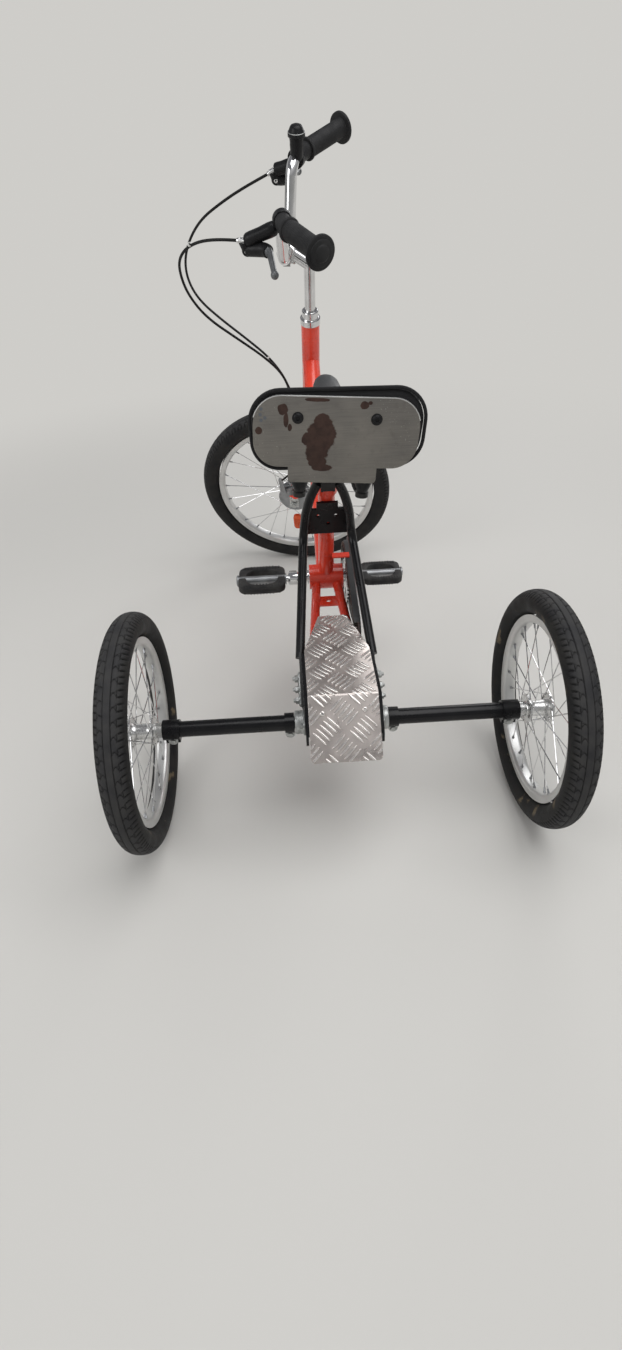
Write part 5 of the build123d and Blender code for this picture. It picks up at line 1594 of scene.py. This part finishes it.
# %% Along the handlebar
BAR_CORNERS = [Vector(point) for point in ((48, 43, 606), (95, 40, 708), (141, 26, 708), (234, -40, 715))]
fork_turn = fork_frame.to_3x3()
grip_run = (BAR_CORNERS[3] - BAR_CORNERS[2]).normalized()
bar_run = (BAR_CORNERS[2] - BAR_CORNERS[1]).normalized()
lever_on_bar = BAR_CORNERS[1] + bar_run * ((118.5 - BAR_CORNERS[1].x) / bar_run.x)


def to_side(point, side):
    """The same point on the right (1) or left (-1) of the steering."""
    return Vector((point[0] * side, point[1], point[2]))


def fork_stand(point, along, sideways=(0, 0, 1)):
    """A place in the fork's frame whose Z runs along a direction."""
    return stand(fork_spot(*point), fork_turn @ Vector(along), fork_turn @ Vector(sideways))


def in_fork(points, side=1):
    """A line of points laid out in the fork's frame, or mirrored to its left."""
    return [fork_spot(*to_side(point, side)) for point in points]


BEND_STEPS = 8


def rounded(points, bends):
    """Points along a bar with a bend at each corner, given by its tangent length."""
    points = [Vector(point) for point in points]
    path = [points[0]]
    for corner, before, after, bend in zip(points[1:-1], points, points[2:], bends):
        start = corner + (before - corner).normalized() * bend
        end = corner + (after - corner).normalized() * bend
        for step in range(BEND_STEPS + 1):
            share = step / BEND_STEPS
            path.append((1 - share) ** 2 * start + 2 * share * (1 - share) * corner + share ** 2 * end)
    path.append(points[-1])
    return path


print("levers on the bar at", [round(part, 1) for part in lever_on_bar])

# %% [markdown]
# The grips are moulded rubber with fine ribs and a large stepped end, and a plain sleeve covers the
# bend of the bar inside them. A grip is round, so the lathe makes it with all its ribs at once.

# %% Grips
GRIP_RIBS, RIB_STEP = 24, 3.7
grip_outline = [(0, 12.0), (6, 11.9), (10.6, 11.3), (12.8, 10.0), (13.4, 9.2), (18.6, 8.8), (20.0, 7.8),
                (20.4, 6.4), (24.8, 5.9), (26, 4.8), (26, 1.3), (25, 0.2), (18, -0.6)]
for number in range(GRIP_RIBS):
    height = -3 - RIB_STEP * number
    grip_outline += [(16.3, height), (16.3, height - 2.1), (15.95, height - 2.6), (15.95, height - 3.3)]
grip_outline += [(16.2, -93.5), (18.4, -94.5), (19, -96), (19, -99), (18.2, -100), (10.6, -100),
                 (10.6, -60), (0, -60)]
for side, name in SIDES:
    mesh = bmesh.new()
    place = fork_stand(to_side(BAR_CORNERS[3], side), to_side(grip_run, side))
    turned(mesh, grip_outline, place, 56)
    sleeve = rounded([lever_on_bar + bar_run * 7, BAR_CORNERS[2], BAR_CORNERS[3] - grip_run * 99], [9])
    tube(mesh, in_fork(sleeve, side), 14.2, 28)
    make_piece("grip_rubber_" + name, mesh, finish["grip_rubber"], "steering",
               ["grip_" + name])

# %% [markdown]
# A brake lever is a clamp round the bar, a moulded body, an adjuster for the cable, a hinge at the far
# end, and a blade that turns back to a ball. Sculpting could make the body softer. Tubes whose radius
# changes come close to it, and one function makes both sides, each from where its cable starts.

# %% Brake levers


def along_line(start, end, shares):
    """Points on a straight line, placed in the fork's frame."""
    return in_fork([start + (end - start) * share for share in shares])


def lever(name, side, cable_start, cable_next):
    """Clamp, body, adjuster, hinge and blade of one brake lever."""
    start, following = Vector(cable_start), Vector(cable_next)
    back = (start - following).normalized()
    clamp = to_side(lever_on_bar, side)
    body_end = start + back * 16
    body_start = clamp + Vector((0, 12, -12))
    pivot = body_end + Vector((0, -2, -14))
    knee = pivot + (body_start - body_end) * 0.75 + Vector((side * 13, 0, -9))
    ball = clamp + Vector((side * 76.5, 6.2, -50))
    mesh = bmesh.new()
    ring = fork_stand(clamp, to_side(bar_run, side))
    turned(mesh, [(11.25, -6), (15.2, -6), (16.2, -5), (16.2, 5), (15.2, 6), (11.25, 6)], ring, 40,
           closed=True)
    shares = (-0.06, -0.03, 0.05, 0.2, 0.5, 0.8, 0.93, 0.99, 1.03)
    tube(mesh, along_line(body_start, body_end, shares), (5, 9, 11.4, 11.8, 11, 11.4, 11, 9.0, 5.0), 24)
    tube(mesh, along_line(body_end - back * 3, pivot, (0, 0.5, 1)), (10, 9.4, 9), 20)
    hinge = fork_stand(pivot, (1, 0, 0))
    turned(mesh, [(0, -7.2), (6, -7.2), (8.4, -6.6), (9, -5.6), (9, 5.6), (8.4, 6.6), (6, 7.2), (0, 7.2)],
           hinge, 32)
    path = rounded([pivot, knee, ball], [16])
    tube(mesh, in_fork(path[:7]), (10.4, 11.4, 11.4, 11.2, 11.0, 10.8, 10.4), 20)
    make_piece("lever_body_" + name, mesh, finish["black_plastic"], "steering",
               ["brake_lever_" + name])
    mesh = bmesh.new()
    last = len(path) - 6
    tube(mesh, in_fork(path[5:]), [10.4 - 5.4 * (number / last) ** 0.5 for number in range(last + 1)], 20)
    ball_place = fork_stand(ball, ball - knee)
    turned(mesh, [(0 if step in (0, 16) else 7 * math.sin(math.pi * step / 16),
                   7 * math.cos(math.pi * step / 16)) for step in range(17)], ball_place, 32)
    make_piece("lever_blade_" + name, mesh, finish["lever_grey"], "steering")
    mesh = bmesh.new()
    barrel = fork_stand(body_end, start - body_end)
    outline = [(0, 0)]
    for number in range(5):
        outline += [(5.6, 1.2 + number * 1.8), (5.6, 2.1 + number * 1.8), (5.2, 2.4 + number * 1.8),
                    (5.2, 2.8 + number * 1.8)]
    outline += [(5.6, 10.6), (4.4, 11.6), (3.8, 15.8), (0, 15.8)]
    turned(mesh, outline, barrel, 28)
    for end in (-1, 1):
        round_bolt(mesh, fork_stand(pivot + Vector((end * 7.2, 0, 0)), (end, 0, 0)), 4.2, 2.2)
    round_bolt(mesh, fork_stand(clamp + Vector((0, -5, -15)), (0, -1, -0.3)), 3.8, 2.6)
    make_piece("lever_metal_" + name, mesh, finish["hub_aluminium"], "steering")


# %% [markdown]
# Where a lever's body ends its cable starts, so the routes of the two cables are needed here. They are
# the same points as in the CAD model, in the fork's frame and in millimetres.

# %% Routes of the cables, and both levers
RIGHT_CABLE = [
    (118, 90, 681), (111, 140, 660), (102, 190, 634), (93, 226, 612), (83, 252, 582),
    (73, 268, 546), (62, 266, 510), (51, 245, 475), (42, 200, 440), (33, 148, 405),
    (25, 98, 368), (12, 66, 334), (-8, 48, 309), (-22, 36, 296),
]
LEFT_CABLE = [
    (-118, 114, 674), (-110, 158, 672), (-99, 205, 656), (-88, 233, 626), (-77, 238, 588),
    (-68, 230, 546), (-58, 204, 500), (-48, 152, 455), (-39, 98, 410), (-29, 62, 366),
    (-29, 46, 324), (-46, 42, 288), (-60, 30, 252), (-57, 22, 208), (-52, 21, 164),
    (-50, 33, 124), (-47, 56, 94), (-42, 76, 70),
]
lever("right", 1, RIGHT_CABLE[0], RIGHT_CABLE[1])
lever("left", -1, LEFT_CABLE[0], LEFT_CABLE[1])

# %% [markdown]
# A small black bell stands on a stalk beside the right lever: a ribbed sleeve with a dome. A thin
# bright ring under the dome is a painted highlight. All of it is round, so it comes off the lathe too.

# %% Bell
centre = lever_on_bar + bar_run * 10.8
foot = centre + Vector((-18.8, 1.3, 36))
mesh = bmesh.new()
turned(mesh, [(11.25, -2), (13.2, -2), (13.6, -1.5), (13.6, 1.5), (13.2, 2), (11.25, 2)],
       fork_stand(centre, bar_run), 40, closed=True)
stalk = rounded([centre + Vector((0, 0, 12)), centre + Vector((0, 0, 20.1)), foot + Vector((0, 0, 2))], [5])
tube(mesh, in_fork(stalk), 3, 14)
turned(mesh, [(0, -36), (9, -36), (12, -30), (12.6, -15), (12.8, -14.2), (12.6, -8), (13.4, -1),
              (14.8, -0.6), (16, 0.6), (16, 5.2), (15.2, 6.2), (14.8, 7.2), (11.6, 13.8), (10, 15.8),
              (6, 17.4), (0, 18)], fork_stand(foot, (0, 0, 1), (1, 0, 0)), 56)
make_piece("bell_body", mesh, finish["black_plastic"], "steering", ["bell"])
# A thin bright ring under the dome: a painted highlight
mesh = bmesh.new()
ring = [foot + Vector((*(15.3 * heading(math.tau * step / 48)), 6.6)) for step in range(48)]
tube(mesh, in_fork(ring), 0.6, 8, closed=True)
make_piece("bell_highlight_ring", mesh, finish["zinc"], "steering")

# %% [markdown]
# A bolt clamps the bar in the stem, and a second one in its top holds the stem in the fork. Below it the
# headset ends in three stacked rings: a lock nut, a washer and the upper cup.

# %% Stem bolts and headset rings
mesh = bmesh.new()
round_bolt(mesh, fork_stand((0, 30.2, 585), (0, -1, 0)), 5.2, 4.0)
round_bolt(mesh, fork_stand((0, -2.6, 590.4), (0, -0.25, 1)), 5.6, 3.4)
make_piece("stem_bolts", mesh, finish["zinc"], "steering")
mesh = bmesh.new()
for low, inner, outer in ((489.6, 11.25, 15.6), (474.6, 16.6, 18.2), (460.4, 16.6, 18.6)):
    turned(mesh, [(inner, 0), (outer - 0.6, 0), (outer, 0.6), (outer, 2.2), (outer - 0.8, 3.0),
                  (inner, 3.0)], fork_stand((0, 0, low), (0, 0, 1), (1, 0, 0)), 48, closed=True)
make_piece("headset_rings", mesh, finish["chrome"], "steering")

# %% [markdown]
# ## Brake cables
# Two short ties of pale plastic sit on the brake cables, at points of the routes above. Each is a ring
# round the cable with a small square head.

# %% Cable ties
TIES = [((-99, 205, 656), (-88, 233, 626)), ((25, 98, 368), (12, 66, 334))]
mesh = bmesh.new()
for first, second in TIES:
    middle, far = Vector(first), Vector(second)
    place = fork_stand(middle, far - middle)
    turned(mesh, [(2.55, -1.6), (3.6, -1.6), (3.6, 1.6), (2.55, 1.6)], place, 20, closed=True)
    plate(mesh, rectangle(3.4, 2.6, 0.6, 3), 0, 4, place @ shift(0, 3.6, -2), 0.3)
make_piece("cable_ties", mesh, finish["white_plastic"], "steering")

# %% [markdown]
# The brake cables are stiff wires in a black cover. They come out of the levers' adjusters, swing in
# wide loops ahead of the bar and run down to the rim brake and the hub brake. A NURBS curve pulled by
# a few points bends as evenly as such a wire does, where a line through many points would show kinks.

# %% Cables


def cable(name, node, route, length):
    """One stiff cable along its route in the fork's frame."""
    curve = bpy.data.curves.new(name, "CURVE")
    curve.dimensions = "3D"
    curve.bevel_depth = 2.5 * MM
    curve.bevel_resolution = 4
    curve.resolution_u = 12
    curve.use_fill_caps = True
    spline = curve.splines.new("NURBS")
    spline.points.add(len(route) - 1)
    for knot, place in zip(spline.points, route):
        knot.co = (*fork_spot(*place), 1)
    spline.order_u = 3
    spline.use_endpoint_u = True
    curve.materials.append(finish["cable_cover"])
    piece = bpy.data.objects.new(name, curve)
    scene.collection.objects.link(piece)
    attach(piece, "steering")
    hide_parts(node)
    print(name, "length", length, "m")


cable("rim_brake_cable", "cable_right", RIGHT_CABLE, 0.6052)
cable("hub_brake_cable", "cable_left", LEFT_CABLE, 0.7933)

# %% [markdown]
# ## Chain
# The chain runs round two toothed wheels. Its middle line is two straight runs and two arcs, so a place
# on it is plain geometry: a distance along the loop gives a point. An Array modifier on a curve would
# bend the links. Here they stay stiff, as steel links are.

# %% Path of the chain
PITCH, CHAIN_LINE = 12.7, 40.0
RING_RADIUS = PITCH / (2 * math.sin(math.pi / 32))
COG_RADIUS = PITCH / (2 * math.sin(math.pi / 16))
drive_plane = axes(spot(0, 0, 0), (0, 1, 0), (0, 0, 1), (1, 0, 0))
cog_centre, ring_centre = Vector((0, 200)), Vector((360, 270))
apart = ring_centre - cog_centre
tangent = math.asin((RING_RADIUS - COG_RADIUS) / apart.length)
line_angle = math.atan2(apart.y, apart.x)
upper_angle, lower_angle = line_angle + tangent, line_angle - tangent
run = apart.length * math.cos(tangent)
front_wrap, rear_wrap = math.pi + 2 * tangent, math.pi - 2 * tangent
loop = 2 * run + front_wrap * RING_RADIUS + rear_wrap * COG_RADIUS


def on_chain(distance):
    """A point on the chain's middle line at a distance from where it leaves the small wheel."""
    if distance < run:
        off = heading(upper_angle + math.pi / 2) * COG_RADIUS
        return cog_centre + off + heading(upper_angle) * distance
    distance -= run
    if distance < front_wrap * RING_RADIUS:
        return ring_centre + heading(upper_angle + math.pi / 2 - distance / RING_RADIUS) * RING_RADIUS
    distance -= front_wrap * RING_RADIUS
    if distance < run:
        off = heading(lower_angle - math.pi / 2) * RING_RADIUS
        return ring_centre + off - heading(lower_angle) * distance
    return cog_centre + heading(lower_angle - math.pi / 2 - (distance - run) / COG_RADIUS) * COG_RADIUS


print("chain loop:", round(loop, 1), "mm")

# %% [markdown]
# A bush roller chain has wide outer and narrow inner links by turns, with a roller on each pin. A side
# plate has round ends and a waist. Every link is cut from plate and set between two pins.

# %% Chain links


def link_outline(length, round_end, waist):
    """A side plate with round ends and a waist."""
    middle = Vector((length / 2, 0))
    right = [middle + round_end * heading(math.pi * step / 8) for step in range(-5, 6)]
    return right + [(0, waist)] + [-point for point in right] + [(0, -waist)]


LINKS = 2 * round(loop / (2 * PITCH))
mesh = bmesh.new()
pins = [on_chain(loop * number / LINKS) for number in range(LINKS)]
for number, pin in enumerate(pins):
    following = pins[(number + 1) % LINKS]
    middle = (pin + following) / 2
    turn = math.atan2(following.y - pin.y, following.x - pin.x)
    place = drive_plane @ shift(*middle, CHAIN_LINE) @ Matrix.Rotation(turn, 4, "Z")
    outer = number % 2 == 0
    outline = link_outline((following - pin).length, 3.9 if outer else 3.7, 2.9)
    for side in (-1, 1):
        low = side * (2.5 if outer else 1.4)
        plate(mesh, outline, *sorted((low, low + side * 0.9)), place, 0.15)
    pin_place = drive_plane @ shift(*pin, CHAIN_LINE)
    turned(mesh, [(0, -3.6), (1.5, -3.6), (1.8, -3.3), (1.8, 3.3), (1.5, 3.6), (0, 3.6)], pin_place, 12)
    turned(mesh, [(0, -1.4), (3.6, -1.4), (3.6, 1.4), (0, 1.4)], pin_place, 14)
make_piece("roller_chain", mesh, finish["chain_steel"], "frame", ["chain"])
print("chain links:", LINKS)

# %% [markdown]
# A thin line of bright metal along the chain guard's upper rim is a painted highlight on its rounded
# edge. It follows the guard: a straight run over the chain, and then an arc round the chainring.
# shines. It follows the guard: a straight run over the chain, and then an arc round the chainring.

# %% Painted highlight on the edge of the guard
GUARD_OUT, GUARD_TAIL, GUARD_ARC, GUARD_STEPS = 13, 182, math.radians(150), 40
up_from_chain = upper_angle + math.pi / 2
edge = [cog_centre + heading(up_from_chain) * (COG_RADIUS + GUARD_OUT)
        + heading(upper_angle) * (GUARD_TAIL / math.cos(upper_angle))]
for step in range(GUARD_STEPS + 1):
    turn = up_from_chain - GUARD_ARC * step / GUARD_STEPS
    edge.append(ring_centre + heading(turn) * (RING_RADIUS + GUARD_OUT))
# A thin bright tube along the rim: a painted highlight
mesh = bmesh.new()
tube(mesh, [drive_plane @ (Vector((point.x, point.y, 48.6)) * MM) for point in edge], 0.8, 8)
make_piece("guard_edge_highlight", mesh, finish["rim_aluminium"], "frame")

# %% [markdown]
# The cranks end in round bosses where the pedals screw in, and a cap covers the axle's end in each
# crank. The CAD cranks are plain bars there, so the bosses and caps are added and turn with them.

# %% Crank bosses and caps
CRANK, CRANK_DOWN = 100, math.radians(29.4)
crank_ahead, crank_low = CRANK * math.cos(CRANK_DOWN), CRANK * math.sin(CRANK_DOWN)
mesh = bmesh.new()
for side in (-1, 1):
    eye = stand(spot(side * 57, 360 + side * crank_ahead, 270 - side * crank_low), (side, 0, 0), (0, 1, 0))
    turned(mesh, [(0, 0), (10.5, 0), (12, 1.5), (12, 17), (11, 18.6), (8, 19.6), (0, 19.6)], eye, 40)
    hub = stand(spot(side * 74, 360, 270), (side, 0, 0), (0, 1, 0))
    turned(mesh, [(0, -0.3), (10.5, -0.3), (10.5, 0.6), (9.6, 1.4), (5.2, 2.0), (4.6, 1.2), (0, 1.0)],
           hub, 36)
make_piece("crank_caps", mesh, finish["chrome"], "crankset")

# %% [markdown]
# ## Pedals
# Each pedal is a black rubber block moulded round a metal tube, with an opening between the treads.
# Ribs across the treads keep a foot from slipping. The block is built in layers, as a plate is, but
# the skin goes up the outside, over the top and down through the opening, so it closes on itself.

# %% Rubber pedals


def pedal(name, side, centre, body):
    """Rubber loop with ribs, and the cap that closes its axle tube."""
    inner, length, depth = 82.3, 87.4, 80.0
    middle = Vector((side * (inner + length / 2), centre[0], centre[1]))
    place = axes(spot(*middle), (side, 0, 0), (0, side, 0), (0, 0, 1))
    mesh = bmesh.new()
    outer = rectangle(length, depth, 16, 8)
    opening = rectangle(length - 28, depth - 25, 22, 8)
    bowed = [(x, y + math.copysign(1.2 * math.cos(math.pi * x / length), y) - math.copysign(1.2, y))
             for x, y in outer]
    layers = [
        (bowed, -2.2, -7.4), (bowed, -0.7, -6.8), (bowed, 0, -5.2), (bowed, 0, 5.2), (bowed, -0.7, 6.8),
        (bowed, -2.2, 7.4), (opening, 2.0, 7.4), (opening, 0.6, 6.8), (opening, 0, 5.6),
        (opening, 0, -5.6), (opening, 0.6, -6.8), (opening, 2.0, -7.4),
    ]
    skinned(mesh, stacked(mesh, place, layers), looped=True)
    for face in (-1, 1):
        for tread in (-1, 1):
            for number in range(12):
                x = (number - 5.5) * 5.9
                reach, out = (9.6, 33.4) if abs(x) < 24 else (7.6, 32.5)
                rib = place @ shift(x, tread * out, face * 7.2)
                if face < 0:
                    rib = rib @ Matrix.Rotation(math.pi, 4, "X")
                plate(mesh, rectangle(2.6, reach, 0.8, 3), -0.6, 1.6, rib, 0.5)
    for tread in (-1, 1):
        for height in (-3.2, 3.2):
            groove = place @ shift(0, tread * 39.4, height) @ Matrix.Rotation(-tread * math.pi / 2, 4, "X")
            plate(mesh, rectangle(length - 38, 2.6, 0.8, 3), -1.0, 0.9, groove, 0.4)
    make_piece("pedal_block_" + name, mesh, finish["pedal_rubber"], body,
               ["pedal_rubbers_" + name])
    mesh = bmesh.new()
    end = stand(spot(side * 172, *centre), (side, 0, 0), (0, 1, 0))
    turned(mesh, [(0, -2), (9, -2), (10.6, -1.2), (10.6, 0.6), (9.6, 1.4), (7, 2.2), (0, 2.4)], end, 32)
    make_piece("pedal_cap_" + name, mesh, finish["drum_grey"], body)


pedal("right", 1, (360 + crank_ahead, 270 - crank_low), "pedal_right")
pedal("left", -1, (360 - crank_ahead, 270 + crank_low), "pedal_left")
